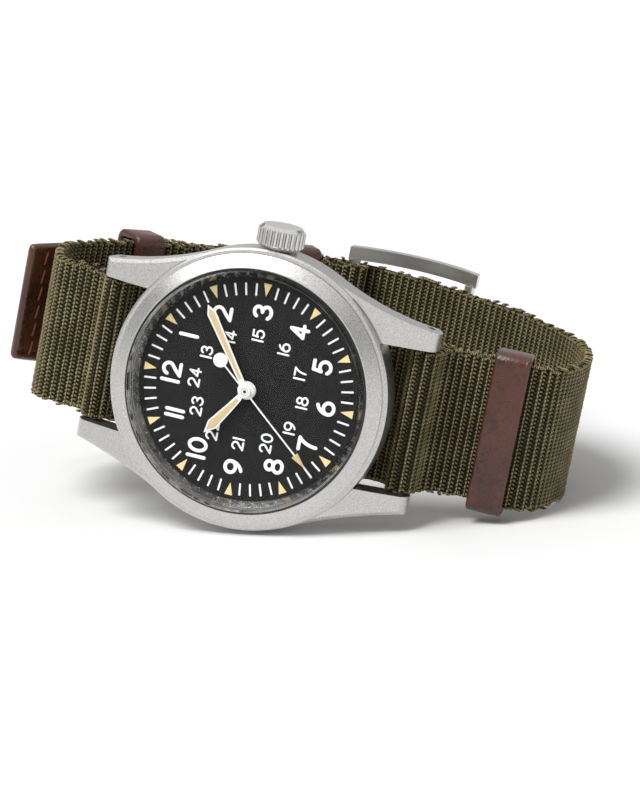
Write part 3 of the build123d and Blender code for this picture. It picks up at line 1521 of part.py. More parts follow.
watch = {name: build() for name, build in parts.items()}
laid = {name: resting_place() * solid for name, solid in watch.items()}
whole = Compound(list(laid.values())).bounding_box()
table = Pos(-(whole.min.X + whole.max.X) / 2, -(whole.min.Y + whole.max.Y) / 2, -whole.min.Z)
for name, solid in laid.items():
    export_step(table * solid, f"parts/{name}.step")
print("size", whole.size)
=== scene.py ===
"""The field watch dressed for its portrait: textile strap, leather, blasted steel and a printed dial."""

import json
import math

import bmesh
import bpy
import numpy as np
from mathutils import Matrix, Vector


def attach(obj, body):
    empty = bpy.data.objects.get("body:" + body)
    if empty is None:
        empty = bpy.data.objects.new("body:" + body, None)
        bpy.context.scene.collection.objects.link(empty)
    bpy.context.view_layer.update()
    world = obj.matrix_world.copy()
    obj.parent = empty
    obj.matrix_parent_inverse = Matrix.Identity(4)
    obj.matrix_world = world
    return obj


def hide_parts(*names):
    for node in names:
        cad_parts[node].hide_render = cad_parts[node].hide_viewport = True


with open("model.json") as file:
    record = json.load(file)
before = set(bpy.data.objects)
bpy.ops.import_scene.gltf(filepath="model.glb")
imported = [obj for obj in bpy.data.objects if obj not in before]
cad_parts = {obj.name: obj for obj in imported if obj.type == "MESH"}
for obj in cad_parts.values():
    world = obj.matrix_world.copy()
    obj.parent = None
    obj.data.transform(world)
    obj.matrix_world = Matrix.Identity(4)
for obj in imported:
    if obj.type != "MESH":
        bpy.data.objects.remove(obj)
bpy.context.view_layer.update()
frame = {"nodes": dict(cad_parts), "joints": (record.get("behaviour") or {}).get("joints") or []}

joints = {joint["name"]: joint for joint in frame["joints"]}
nodes = frame["nodes"]

# Sizes in millimetres, drawn in the watch's own directions:
# X out through the crown, Y to 12 o'clock, Z out of the crystal, from the middle of the dial.
bar_y = 21.6
bar_z = -5.4
bar_radius = 0.75
strap_width = 19.6
strap_thickness = 1.2
layer_gap = 0.1
loop_reach_6 = 40.8
loop_reach_12 = 34.4
loop_depth = 59.45
strap_level = -6.6
leather_thickness = 1.5
leather_tip_width = 16.6
keeper_wall = 1.1
keeper_length = 4.9
keeper_clearance = 0.15
keeper_corner = 0.9
crease_width = 0.4
leather_spacing = 0.3
leather_end_rounding = 0.75
leather_end_thickness_share = 0.45
leather_end_narrowing = 0.8
end_edge_rounding = 0.6
end_crease_inset = 1.1
end_crease_depth = 0.08
keeper_edge_rounding = 0.4
keeper_crease_inset = 0.5
keeper_crease_depth = 0.05
leather_core_thickness = 0.62
leather_core_proud = 0.24
leather_core_end_steps = 4
outward_level_12 = -7.0
outward_level_6 = -9.2
dip_corner = 1.35
corner_share = 0.3
keeper_slack = 0.7
under_gap = 0.45
lug_keeper_y = -32.5
buckle_keeper_y = 9.0
free_keeper_y = 28.6
buckle_bar_radius = 0.75
buckle_bar_y = 0.3
fold_middle_lift = 0.6
fold_end_lift = 0.15
leather_start_share = 0.77
tail_textile_points = 21
fold_end_share = 0.19
fold_middle_share = 0.12
tail_shares = (
    (-0.760, -0.162), (-0.870, -0.1665), (-0.936, -0.195), (-0.980, -0.266), (-1.0, -0.353),
    (-1.0, -0.442), (-0.971, -0.533), (-0.922, -0.622), (-0.853, -0.696), (-0.765, -0.764),
    (-0.669, -0.8225), (-0.551, -0.876), (-0.417, -0.925), (-0.270, -0.9655), (-0.1225, -0.9924),
    (0.0087, -1.0), (0.105, -0.987), (0.215, -0.952), (0.363, -0.883), (0.523, -0.797),
    (0.674, -0.710), (0.802, -0.6325), (0.901, -0.565), (0.994, -0.496), (1.081, -0.432), (1.163, -0.370),
)
lower_layer_shares = (0.105, 0.215, 0.363, 0.523)
lower_bend_shares = (0.650, 0.760)
bend_shares = (
    (0.862, -0.541), (0.930, -0.470), (0.983, -0.405), (1.0, -0.338), (0.985, -0.259),
    (0.947, -0.186), (0.888, -0.144), (0.820, -0.1305),
)
under_shares = (
    (0.828, -0.156), (0.727, -0.1425), (0.620, -0.1352), (0.550, -0.134), (0.500, -0.134), (0.400, -0.134),
    (0.250, -0.134), (0.0, -0.134), (-0.220, -0.134), (-0.340, -0.134), (-0.400, -0.134), (-0.446, -0.1355),
    (-0.502, -0.146), (-0.576, -0.168), (-0.657, -0.184), (-0.760, -0.1890), (-0.863, -0.1925),
)
behind_case_shares = (1.0, 0.92, 0.8, 0.6, 0.3, 0.0, -0.3, -0.6, -0.8, -0.92, -1.0)
bar_angles = (0, 45, 90, 135, 180)
fold_angles = (75, 120, 160, 200, 240, 280)
line_spacing = 0.05
curve_steps = 4000
fewest_steps = 4
edge_turn_step = 30
corner_turn_step = 15

# Weave
rib_pitch = 1.15
bead_pitch = 0.54
ridge_length = 0.36
ridge_width = 1.0
ridge_at = -0.3
tooth_length = 0.66
tooth_width = 0.44
tooth_at = 0.1
tooth_slant = -0.09
tooth_height_share = 0.93
valley_length = 0.52
valley_width = 0.46
valley_at = 0.56
valley_slant = 0.1
valley_height_share = 0.72
# The valley twist's tone: a darker yarn, deepened with painted shade
valley_yarn_and_shade_share = 0.62
ribs_in_a_piece = 55
core_thickness = 0.6
selvedge_width = 0.42
selvedge_yarn = 0.095
selvedge_slant = 0.2
loops_in_a_rib = 2
# Tone of the painted shade on the inner side of each edge loop's yarn
loop_inner_shade_tone = 0.1
rib_jitter = 0.05
rib_seed = 4
loop_jitter = 0.04
loop_seed = 7

# Dial and hands
minutes_on_dial = 60
hours_on_dial = 12
hour_numeral_distance = 10.72
hour_numeral_height = 2.8
hour_numeral_stroke = 0.5
inner_numeral_distance = 7.5
inner_numeral_height = 1.72
inner_numeral_stroke = 0.27
print_height = 0.03
print_shoulder = 0.85
print_shoulder_height_share = 0.8
print_sink = 0.005
marker_height = 0.06
marker_overlap = 0.012
triangle_base_radius = 14.5
triangle_apex_radius = 12.85
triangle_half_width = 0.53
tick_inner_radius = 12.7
tick_outer_radius = 14.35
tick_width = 0.22
hand_thickness = 0.15
hand_root_half_width = 0.34
lume_rise = 0.05
lume_start = 1.75
hand_border = 0.2
hour_hand = {"level": 0.7, "angle": 304.5, "length": 8.3, "widest": 6.7, "half_width": 0.74}
minute_hand = {"level": 1.1, "angle": 54.65, "length": 12.5, "widest": 11.3, "half_width": 0.62}
seconds_level = 1.5
seconds_angle = 219.8
seconds_arrow_tail = 10.65
seconds_arrow_tip = 12.87
seconds_arrow_half_width = 0.5
seconds_hub_top = 1.9
pin_radius = 0.22
pin_ring_radius = 0.46
pin_ring_width = 0.05
pin_point_radius = 0.001

# Stitches across the leather end
stitch_line_from_start = 19.0
stitch_count = 6
stitch_pitch = 2.6
stitch_length = 2.5
stitch_radius = 0.2
stitch_slant = 0.2
stitch_proud_share = 0.2
stitch_stations = (-1.0, -0.9, -0.6, 0.0, 0.6, 0.9, 1.0)
stitch_sink = 0.5
stitch_thinning = 0.3
digit_width_share = 0.68
digit_gap_share = 1.6
inlay_crown_share = 0.9

# Camera, solved from the dial's markers: where it stands, and the picture's right and down directions
camera_place = (97.7, -99.5, 442.5)
picture_right = (0.1873, -0.9539, -0.2344)
picture_down = (-0.9597, -0.2286, 0.1635)
picture_away = (-0.2096, 0.1943, -0.9583)
focal_pixels = 3500
picture_height_pixels = 800
sensor_size = 36
nearest_seen = 0.01
farthest_seen = 50

# Light, in metres and in Blender's strengths
key_energy = 2.5
key_angle = 30
key_towards_viewer = 0.5
key_towards_left = 0.55
fill_strength = 0.42
floor_half = 30

millimetre = 0.001


def watch_space():
    """The matrix from the watch's own millimetres to the model's metres."""
    dial_middle = Vector(joints["seconds_turn"]["pos_m"])
    out_of_crystal = -Vector(joints["seconds_turn"]["axis"]).normalized()
    out_of_crown = Vector(joints["crown_turn"]["axis"]).normalized()
    to_twelve = out_of_crystal.cross(out_of_crown)
    turn = Matrix((out_of_crown, to_twelve, out_of_crystal)).transposed()
    return Matrix.Translation(dial_middle) @ (turn @ Matrix.Scale(millimetre, 3)).to_4x4()


watch = watch_space()


def direction(vector):
    """A direction of the watch in the model's space."""
    return (watch.to_3x3() @ Vector(vector)).normalized()


across = direction((1, 0, 0))
out_of_dial = direction((0, 0, 1))


# Shapes

def place(points):
    """Points from the watch's millimetres to the model's metres."""
    return [watch @ Vector(point) for point in points]


def mesh_of(name, points, faces, smooth=True, values=None):
    """A closed mesh with its faces outward. values is a named number for each point."""
    mesh = bpy.data.meshes.new(name)
    mesh.from_pydata([tuple(point) for point in points], [], faces)
    if values is not None:
        # The crown attribute carries the yarn's painted light tones
        layer = mesh.attributes.new("crown", "FLOAT", "POINT")
        layer.data.foreach_set("value", values)
    work = bmesh.new()
    work.from_mesh(mesh)
    bmesh.ops.recalc_face_normals(work, faces=work.faces)
    work.to_mesh(mesh)
    work.free()
    mesh.polygons.foreach_set("use_smooth", [smooth] * len(mesh.polygons))
    mesh.update()
    return mesh


def show(name, mesh, finish, body, *stands_for):
    """A finished piece in the scene, riding on its body."""
    mesh.materials.clear()
    mesh.materials.append(finish)
    thing = bpy.data.objects.new(name, mesh)
    bpy.context.scene.collection.objects.link(thing)
    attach(thing, body)
    if stands_for:
        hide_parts(*stands_for)
    return thing


def solid(name, points, faces, finish, body, *stands_for, smooth=True):
    """A closed piece in the scene, from points in the watch's millimetres."""
    show(name, mesh_of(name, place(points), faces, smooth), finish, body, *stands_for)


def smooth_line(points, spacing):
    """A smooth curve through the points, as evenly spaced points."""
    given = np.array(points, float)
    steps = np.linalg.norm(np.diff(given, axis=0), axis=1)
    at = np.concatenate([[0], np.cumsum(steps)])
    count = len(given)
    system = np.eye(count)
    right = np.zeros_like(given)
    for i in range(1, count - 1):
        system[i, i - 1:i + 2] = steps[i - 1], 2 * (steps[i - 1] + steps[i]), steps[i]
        right[i] = 6 * ((given[i + 1] - given[i]) / steps[i] - (given[i] - given[i - 1]) / steps[i - 1])
    bend = np.linalg.solve(system, right)
    fine = np.linspace(0, at[-1], curve_steps)
    span = np.clip(np.searchsorted(at, fine) - 1, 0, count - 2)
    width = steps[span][:, None]
    ahead = (at[span + 1] - fine)[:, None]
    behind = (fine - at[span])[:, None]
    line = (bend[span] * ahead ** 3 + bend[span + 1] * behind ** 3) / (6 * width)
    line += (given[span] / width - bend[span] * width / 6) * ahead
    line += (given[span + 1] / width - bend[span + 1] * width / 6) * behind
    return evenly(line, spacing)


def evenly(line, spacing):
    """The line again, with points at an even spacing."""
    along = lengths(line)
    number = max(fewest_steps, round(along[-1] / spacing))
    even = np.linspace(0, along[-1], number + 1)
    return np.column_stack([np.interp(even, along, line[:, axis]) for axis in range(line.shape[1])])


def lengths(line):
    """How far along the line each of its points is."""
    return np.concatenate([[0], np.cumsum(np.linalg.norm(np.diff(line, axis=0), axis=1))])


def tangents(line):
    rise = np.gradient(line, axis=0)
    return rise / np.linalg.norm(rise, axis=1)[:, None]


def beside(line, depth):
    """The line moved to its left."""
    ahead = tangents(line)
    return line + depth * np.column_stack([-ahead[:, 1], ahead[:, 0]])


def index_at_y(line, y, start_share=0.0):
    """The index where a line passes a value of Y, from a share of its length on."""
    first = int(start_share * (len(line) - 1))
    side = line[first:, 0] < y
    return first + int(np.argmax(side != side[0]))


def place_from_share(share):
    reach = loop_reach_12 if share[0] > 0 else loop_reach_6
    return share[0] * reach, share[1] * loop_depth


def polar(radius, angle, middle=(0.0, 0.0)):
    radians = math.radians(angle)
    return middle[0] + radius * math.cos(radians), middle[1] + radius * math.sin(radians)


tail_line = smooth_line([place_from_share(share) for share in tail_shares], line_spacing)
under_line = smooth_line([place_from_share(share) for share in under_shares], line_spacing)
leather_start = index_at_y(tail_line, leather_start_share * loop_reach_12, 0.5)


def beside_tail(share, depth):
    index = index_at_y(tail_line, share * loop_reach_12, 0.5)
    return tuple(beside(tail_line, depth)[index])


def over_bar(side):
    """The strap's way over a spring bar, from its outer side to its inner side."""
    radius = bar_radius + layer_gap + strap_thickness
    return [(side * y, z) for y, z in (polar(radius, angle, (bar_y, bar_z)) for angle in bar_angles)]


def strap_points():
    """The outer face of the long strap, from its fold at the buckle round to its leather end."""
    layer = strap_thickness + layer_gap
    fold_radius = buckle_bar_radius + layer
    fold_middle = (buckle_bar_y, -loop_depth + layer + fold_radius)
    points = [
        beside_tail(fold_end_share, 3 * layer + fold_end_lift),
        beside_tail(fold_middle_share, 3 * layer + fold_middle_lift),
    ]
    points += [polar(fold_radius, angle, fold_middle) for angle in fold_angles]
    points += [beside_tail(share, layer) for share in lower_layer_shares]
    points += [beside_tail(share, leather_thickness + 2 * layer_gap) for share in lower_bend_shares]
    points += [place_from_share(share) for share in bend_shares]
    over_twelve = over_bar(1)
    outer_y = over_twelve[0][0]
    inner_y = over_twelve[-1][0]
    corner = dip_corner * corner_share
    points += [(outer_y + dip_corner, outward_level_12), (outer_y + corner, outward_level_12 + corner)]
    points += over_twelve + [(inner_y - corner, strap_level + corner)]
    points += [((inner_y - dip_corner) * share, strap_level) for share in behind_case_shares]
    points += [(corner - inner_y, strap_level + corner)] + over_bar(-1)[::-1]
    points.append((-outer_y - corner, outward_level_6 + dip_corner))
    points.append((-outer_y - dip_corner, outward_level_6 + corner))
    points += [place_from_share(share) for share in tail_shares[:tail_textile_points]]
    return points + [tuple(tail_line[leather_start])]


def swept(line, section_at):
    """A closed solid drawn along a line of Y and Z. section_at gives X and depth for a distance along it."""
    ahead = tangents(line)
    left = np.column_stack([-ahead[:, 1], ahead[:, 0]])
    along = lengths(line)
    points = []
    for (y, z), side, distance in zip(line, left, along):
        section = section_at(distance, along[-1])
        points += [(x, y + side[0] * depth, z + side[1] * depth) for x, depth in section]
    return points, capped(len(line), len(section))


def ring_faces(rings, sides, closed):
    """The faces between rings of points that follow each other."""
    faces = []
    for index in range(rings if closed else rings - 1):
        after = (index + 1) % rings
        for side in range(sides):
            follower = (side + 1) % sides
            here = index * sides
            there = after * sides
            faces.append((here + side, here + follower, there + follower, there + side))
    return faces


def capped(rings, sides):
    """The faces of a closed solid drawn through rings of points."""
    last = rings * sides
    return ring_faces(rings, sides, False) + [tuple(range(sides)), tuple(range(last - sides, last))]


# Geometry trees

def add(tree, kind, inputs=None, **settings):
    """Adds a node with its settings, its values and its links."""
    new = tree.nodes.new(kind)
    for name, value in settings.items():
        setattr(new, name, value)
    for name, value in (inputs or {}).items():
        socket = new.inputs[name]
        if isinstance(value, bpy.types.NodeSocket):
            tree.links.new(value, socket)
        else:
            socket.default_value = value
    return new


def row_tree():
    """Copies of one part along a line, turned to follow it, with the first of every few left out."""
    tree = bpy.data.node_groups.new("row_along_line", "GeometryNodeTree")
    for name, kind in (
        ("Geometry", "Geometry"), ("Part", "Object"), ("Count", "Int"), ("Sideways", "Vector"),
        ("Every", "Int"), ("Left out", "Int"), ("Jitter", "Float"), ("Seed", "Int"), ("Material", "Material"),
    ):
        tree.interface.new_socket(name, in_out="INPUT", socket_type="NodeSocket" + kind)
    tree.interface.new_socket("Geometry", in_out="OUTPUT", socket_type="NodeSocketGeometry")
    given = add(tree, "NodeGroupInput").outputs
    curve = add(tree, "GeometryNodeMeshToCurve", {"Mesh": given["Geometry"]}).outputs["Curve"]
    even = add(
        tree, "GeometryNodeResampleCurve", {"Curve": curve, "Count": given["Count"]}, mode="COUNT"
    ).outputs["Curve"]
    index = add(tree, "GeometryNodeInputIndex").outputs["Index"]
    in_few = add(tree, "FunctionNodeIntegerMath", {0: index, 1: given["Every"]}, operation="MODULO")
    wanted = add(
        tree, "FunctionNodeCompare", {2: in_few.outputs[0], 3: given["Left out"]}, data_type="INT",
        operation="GREATER_EQUAL",
    ).outputs["Result"]
    ahead = add(tree, "GeometryNodeInputTangent").outputs["Tangent"]
    facing = add(
        tree, "FunctionNodeAxesToRotation", {"Primary Axis": ahead, "Secondary Axis": given["Sideways"]},
        primary_axis="Z", secondary_axis="X",
    ).outputs["Rotation"]
    least = add(tree, "ShaderNodeMath", {0: given["Jitter"], 1: -1.0}, operation="MULTIPLY").outputs[0]
    chance = add(
        tree, "FunctionNodeRandomValue", {2: least, 3: given["Jitter"], "Seed": given["Seed"]},
        data_type="FLOAT",
    ).outputs[1]
    size = add(tree, "ShaderNodeMath", {0: chance, 1: 1.0}, operation="ADD").outputs[0]
    part = add(tree, "GeometryNodeObjectInfo", {"Object": given["Part"]}).outputs["Geometry"]
    row_of_parts = add(
        tree, "GeometryNodeInstanceOnPoints",
        {"Points": even, "Selection": wanted, "Instance": part, "Rotation": facing, "Scale": size},
    ).outputs["Instances"]
    real = add(tree, "GeometryNodeRealizeInstances", {"Geometry": row_of_parts}).outputs["Geometry"]
    painted_row = add(tree, "GeometryNodeSetMaterial", {"Geometry": real, "Material": given["Material"]})
    add(tree, "NodeGroupOutput", {"Geometry": painted_row.outputs["Geometry"]})
    return tree


along_line = row_tree()


def row(
    name, line, part, count, finish, closed=False, sideways=across, every=1, left_out=0, jitter=0.0, seed=1
):
    """The mesh of a row of one part along a line of points."""
    edges = [(i, i + 1) for i in range(len(line) - 1)]
    if closed:
        edges.append((len(line) - 1, 0))
    path = bpy.data.meshes.new(name + "_path")
    path.from_pydata([tuple(point) for point in line], edges, [])
    holder = bpy.data.objects.new(name + "_path", path)
    sample = bpy.data.objects.new(name + "_part", part)
    for thing in (holder, sample):
        bpy.context.scene.collection.objects.link(thing)
    change = holder.modifiers.new("row", "NODES")
    change.node_group = along_line
    values = {
        "Part": sample, "Count": count, "Sideways": tuple(sideways), "Every": every,
        "Left out": left_out, "Jitter": jitter, "Seed": seed, "Material": finish,
    }
    for item in along_line.interface.items_tree:
        if item.in_out == "INPUT" and item.name in values:
            change[item.identifier] = values[item.name]
    bpy.context.view_layer.update()
    depsgraph = bpy.context.evaluated_depsgraph_get()
    mesh = bpy.data.meshes.new_from_object(holder.evaluated_get(depsgraph), depsgraph=depsgraph)
    mesh.name = name
    bpy.data.objects.remove(holder)
    bpy.data.objects.remove(sample)
    return mesh


# Materials

# Where a noise's middle range starts and ends, and how many octaves it has
noise_low = 0.3
noise_high = 0.7
fine_detail = 4.0
cloud_detail = 2.0
# How open a metal's surface is where its painted recess shade is darkest and where that painted shade ends
recess_shade_darkest_at = 0.45
recess_shade_gone_at = 0.85
# Yarn
fibre_mm = 0.14
fibre_share = 0.5
yarn_cloud_mm = 3
yarn_cloud_share = 0.3
yarn_steps = (0.32, 0.55, 0.78)
yarn_rough = 0.5
yarn_shine = 0.3
# Leather
pore_mm = 0.3
leather_crease_mm = 0.55
crease_distortion = 0.8
crease_tone_share = 0.8
crease_relief_share = 1.4
leather_cloud_mm = 5
leather_dark_at = 0.62
leather_relief_mm = 0.05
leather_relief_strength = 0.7
wax_gloss = 0.08
wax_dullness = 0.12
wax_coat = 0.2
wax_coat_rough = 0.3


def colour(hex_code):
    """A written sRGB colour as linear light."""
    parts = [int(hex_code[i:i + 2], 16) / 255 for i in (1, 3, 5)]
    return tuple(c / 12.92 if c <= 0.04045 else ((c + 0.055) / 1.055) ** 2.4 for c in parts) + (1.0,)


def new_material(name):
    finish = bpy.data.materials.new(name)
    finish.use_nodes = True
    finish.node_tree.nodes.clear()
    return finish, finish.node_tree


def finished(tree, shader):
    add(tree, "ShaderNodeOutputMaterial", {"Surface": shader.outputs[0]})


def surface(tree, tint, rough, normal, more):
    """The shader of an opaque finish."""
    values = {"Base Color": tint, "Roughness": rough, "Normal": normal, **more}
    finished(tree, add(tree, "ShaderNodeBsdfPrincipled", values))


def ramp(tree, factor, stops):
    """A blend of written colours over a value."""
    new = add(tree, "ShaderNodeValToRGB", {"Fac": factor})
    band = new.color_ramp
    while len(band.elements) < len(stops):
        band.elements.new(0.5)
    for element, (position, hex_code) in zip(band.elements, stops):
        element.position = position
        element.color = colour(hex_code)
    return new.outputs["Color"]


def grain_of(tree, size_mm, detail=3.0, stretch=(1, 1, 1), distortion=0.0):
    """Noise of a real size, which may be stretched along the watch's directions."""
    where = add(tree, "ShaderNodeTexCoord").outputs["Object"]
    turned = add(
        tree, "ShaderNodeMapping",
        {"Vector": where, "Rotation": watch.to_quaternion().inverted().to_euler(), "Scale": stretch},
    ).outputs["Vector"]
    return add(
        tree, "ShaderNodeTexNoise",
        {"Vector": turned, "Scale": 1 / (size_mm * millimetre), "Detail": detail, "Distortion": distortion},
    ).outputs["Fac"]


def bump(tree, height, depth_mm, strength=1.0):
    """A fine relief of a real depth."""
    return add(
        tree, "ShaderNodeBump", {"Height": height, "Strength": strength, "Distance": depth_mm * millimetre}
    ).outputs["Normal"]


def spread_over(tree, value, low, high):
    """The middle of a noise's range, spread from one value to another."""
    return add(
        tree, "ShaderNodeMapRange",
        {"Value": value, "From Min": noise_low, "From Max": noise_high, "To Min": low, "To Max": high},
    ).outputs["Result"]


def weighted(tree, value, share, other):
    """A value times a share, with another value added."""
    return add(tree, "ShaderNodeMath", {0: value, 1: share, 2: other}, operation="MULTIPLY_ADD").outputs[0]


def metal(
    name, light, dark, rough, spread, grain_mm, relief_mm, stretch=(1, 1, 1), recess_shade_mm=0.3, shade_in_recesses="#3A3A3A"
):
    """A metal with a fine grain in its tone, its gloss and its relief, and painted shade darkening its
    recesses.
    """
    finish, tree = new_material(name)
    grain = grain_of(tree, grain_mm, stretch=stretch)
    tint = ramp(tree, grain, ((noise_low, dark), (noise_high, light)))
    # Painted shade: ambient occlusion darkens the metal's tone in its recesses
    open_share = add(
        tree, "ShaderNodeAmbientOcclusion", {"Distance": recess_shade_mm * millimetre}, samples=8, only_local=True
    ).outputs["AO"]
    shade = ramp(tree, open_share, ((recess_shade_darkest_at, shade_in_recesses), (recess_shade_gone_at, "#FFFFFF")))
    tint = add(
        tree, "ShaderNodeMix", {"Factor": 1.0, 6: tint, 7: shade}, data_type="RGBA", blend_type="MULTIPLY"
    ).outputs[2]
    roughness = spread_over(tree, grain, rough - spread, rough + spread)
    surface(tree, tint, roughness, bump(tree, grain, relief_mm), {"Metallic": 1.0})
    return finish


def painted(name, light, dark, rough, grain_mm, relief_mm, shine=0.5):
    """A paint, lacquer or moulded surface with a fine tooth."""
    finish, tree = new_material(name)
    grain = grain_of(tree, grain_mm, detail=fine_detail)
    tint = ramp(tree, grain, ((noise_low, dark), (noise_high, light)))
    surface(tree, tint, rough, bump(tree, grain, relief_mm), {"Specular IOR Level": shine})
    return finish


def glass(name, tint, ior):
    """Clear glass that lets the light through to what lies behind it."""
    finish, tree = new_material(name)
    shader = add(
        tree, "ShaderNodeBsdfPrincipled",
        {"Base Color": colour(tint), "Roughness": 0.0, "IOR": ior, "Transmission Weight": 1.0},
    )
    clear = add(tree, "ShaderNodeBsdfTransparent", {"Color": colour(tint)})
    rays = add(tree, "ShaderNodeLightPath").outputs
    choice = {0: rays["Is Shadow Ray"], 1: shader.outputs[0], 2: clear.outputs[0]}
    finished(tree, add(tree, "ShaderNodeMixShader", choice))
    return finish


def yarn(name, light, middle, dark, relief_mm):
    """Twisted yarn with painted light on each yarn's crown and painted shade, nearly black, where it sinks
    between its neighbours.
    """
    finish, tree = new_material(name)
    # The crown attribute is a painted light tone: light on each yarn's crown, painted shade between
    # neighbours
    crown = add(tree, "ShaderNodeAttribute", attribute_name="crown").outputs["Fac"]
    fibre = grain_of(tree, fibre_mm)
    cloud = grain_of(tree, yarn_cloud_mm, detail=cloud_detail)
    fuzzy = weighted(tree, fibre, fibre_share, crown)
    mottled = weighted(tree, cloud, yarn_cloud_share, fuzzy)
    half = add(tree, "ShaderNodeMath", {0: mottled, 1: 0.5}, operation="MULTIPLY").outputs[0]
    tint = ramp(tree, half, tuple(zip(yarn_steps, (dark, middle, light))))
    gloss = {"Specular IOR Level": yarn_shine, "Specular Tint": colour("#E8D8A8")}
    surface(tree, tint, yarn_rough, bump(tree, fibre, relief_mm), gloss)
    return finish


def leather(name, light, dark, rough):
    """Smooth waxed calf leather with fine creases and pores."""
    finish, tree = new_material(name)
    where = add(tree, "ShaderNodeTexCoord").outputs["Object"]
    pores = add(tree, "ShaderNodeTexVoronoi", {"Vector": where, "Scale": 1 / (pore_mm * millimetre)})
    crease = grain_of(tree, leather_crease_mm, detail=fine_detail, distortion=crease_distortion)
    cloud = grain_of(tree, leather_cloud_mm, detail=cloud_detail)
    tone = weighted(tree, crease, crease_tone_share, cloud)
    tint = ramp(tree, tone, ((leather_dark_at, dark), (1.0, light)))
    height = weighted(tree, crease, crease_relief_share, pores.outputs["Distance"])
    relief = bump(tree, height, leather_relief_mm, leather_relief_strength)
    roughness = spread_over(tree, crease, rough - wax_gloss, rough + wax_dullness)
    surface(tree, tint, roughness, relief, {"Coat Weight": wax_coat, "Coat Roughness": wax_coat_rough})
    return finish


# Bead-blasted stainless steel: an even light grey with a fine sparkle, a little coarser than the real one
blasted_steel = metal(
    "blasted_stainless_steel", "#DEDDDA", "#AEADAB", rough=0.34, spread=0.08, grain_mm=0.14, relief_mm=0.014,
)
# Blued steel of the seconds hand's pin
blued_steel = metal(
    "blued_pin_steel", "#4C4D50", "#3A3B3E", rough=0.3, spread=0.04, grain_mm=0.2, relief_mm=0.001,
)
# Polished stainless steel: mirror bright with the faintest haze
polished_steel = metal(
    "polished_stainless_steel", "#DAD9D6", "#C9C8C5", rough=0.06, spread=0.02, grain_mm=0.3, relief_mm=0.001,
    # Near-black painted shade in the recesses of the crown's flutes
    recess_shade_mm=0.6, shade_in_recesses="#101010",
)
# Brushed stainless steel: fine lines along the buckle's bars
brushed_steel = metal(
    "brushed_stainless_steel", "#E2E0DC", "#CFCDC9", rough=0.34, spread=0.05, grain_mm=0.16, relief_mm=0.0015,
    stretch=(1, 0.06, 1),
)
# Gilt brass with a frosted face: the movement's plates and wheels
gilt_brass = metal(
    "frosted_gilt_brass", "#D9B86A", "#A98A48", rough=0.36, spread=0.06, grain_mm=0.12, relief_mm=0.01,
)
# Ground tool steel: grey with fine lines
ground_steel = metal(
    "ground_tool_steel", "#B9B8B6", "#8B8A88", rough=0.3, spread=0.06, grain_mm=0.1, relief_mm=0.005,
    stretch=(0.08, 1, 1),
)
# Plated ring between dial and crystal: a mid grey that mirrors the dial and the light
dark_plating = metal(
    "dark_plated_ring", "#ABAAA8", "#858482", rough=0.24, spread=0.04, grain_mm=0.3, relief_mm=0.002,
)
# Matt black dial lacquer with a fine tooth
dial_black = painted(
    "matt_black_dial_lacquer", "#1C1C1C", "#121212", rough=0.6, grain_mm=0.13, relief_mm=0.006, shine=0.12
)
# White pad-printed ink
print_white = painted("white_dial_ink", "#E6E8E6", "#DADCDA", rough=0.55, grain_mm=0.12, relief_mm=0.003)
# White lacquer of the hands, a little glossier than the ink
hand_white = painted("white_hand_lacquer", "#E2E3E1", "#D4D5D3", rough=0.4, grain_mm=0.15, relief_mm=0.002)
# Aged cream luminous compound, slightly granular
lume_cream = painted(
    "cream_luminous_compound", "#E4CE98", "#D3B982", rough=0.7, grain_mm=0.13, relief_mm=0.012
)
# The same compound in the hands, dulled by age
lume_tan = painted("aged_hand_compound", "#C2AC82", "#AF986E", rough=0.7, grain_mm=0.13, relief_mm=0.012)
# Black nitrile rubber of the seals
seal_rubber = painted("black_nitrile_rubber", "#1A1A1A", "#121212", rough=0.6, grain_mm=0.2, relief_mm=0.004)
# Sapphire with an anti-reflective coating: clear, so its reflections are nearly gone
crystal_glass = glass("coated_sapphire_crystal", "#FFFFFF", ior=1.12)
# Synthetic ruby of the bearings: deep pink and clear
ruby = glass("synthetic_ruby", "#D8204A", ior=1.76)
# Olive twisted polyamide yarn of the webbing: its light colour is a painted highlight on each yarn's crown,
# its near-black one painted shade between the yarns
rib_yarn = yarn("olive_webbing_yarn_painted_light", "#CABE96", "#5C5439", "#12110A", relief_mm=0.02)
# The paler looped yarn of the webbing's edges: its light and dark colours are painted light and painted shade
# round each loop
edge_yarn = yarn("pale_selvedge_yarn_painted_light", "#BFB088", "#6E6345", "#241F13", relief_mm=0.02)
# The webbing's ground, painted near black as the shade seen between the ribs
ground_painted_shade = painted(
    "webbing_ground_painted_shade", "#252217", "#12110A", rough=0.8, grain_mm=0.3, relief_mm=0.03, shine=0.1
)
# The cut edge of the textile between the leather end's two skins
core_cloth = painted(
    "olive_textile_core", "#6B6245", "#443D29", rough=0.8, grain_mm=0.25, relief_mm=0.03, shine=0.2
)
# Waxed calf leather of the keepers: reddish brown with a soft shine
keeper_leather = leather("waxed_brown_calf_leather", "#52291A", "#32170D", rough=0.32)
# The strap's end: the same leather, dyed darker
end_leather = leather("dark_brown_calf_leather", "#55301F", "#351A10", rough=0.3)
# Waxed linen thread close to the leather's colour
linen_thread = painted("waxed_linen_thread", "#8A4527", "#5A2A17", rough=0.5, grain_mm=0.12, relief_mm=0.02)

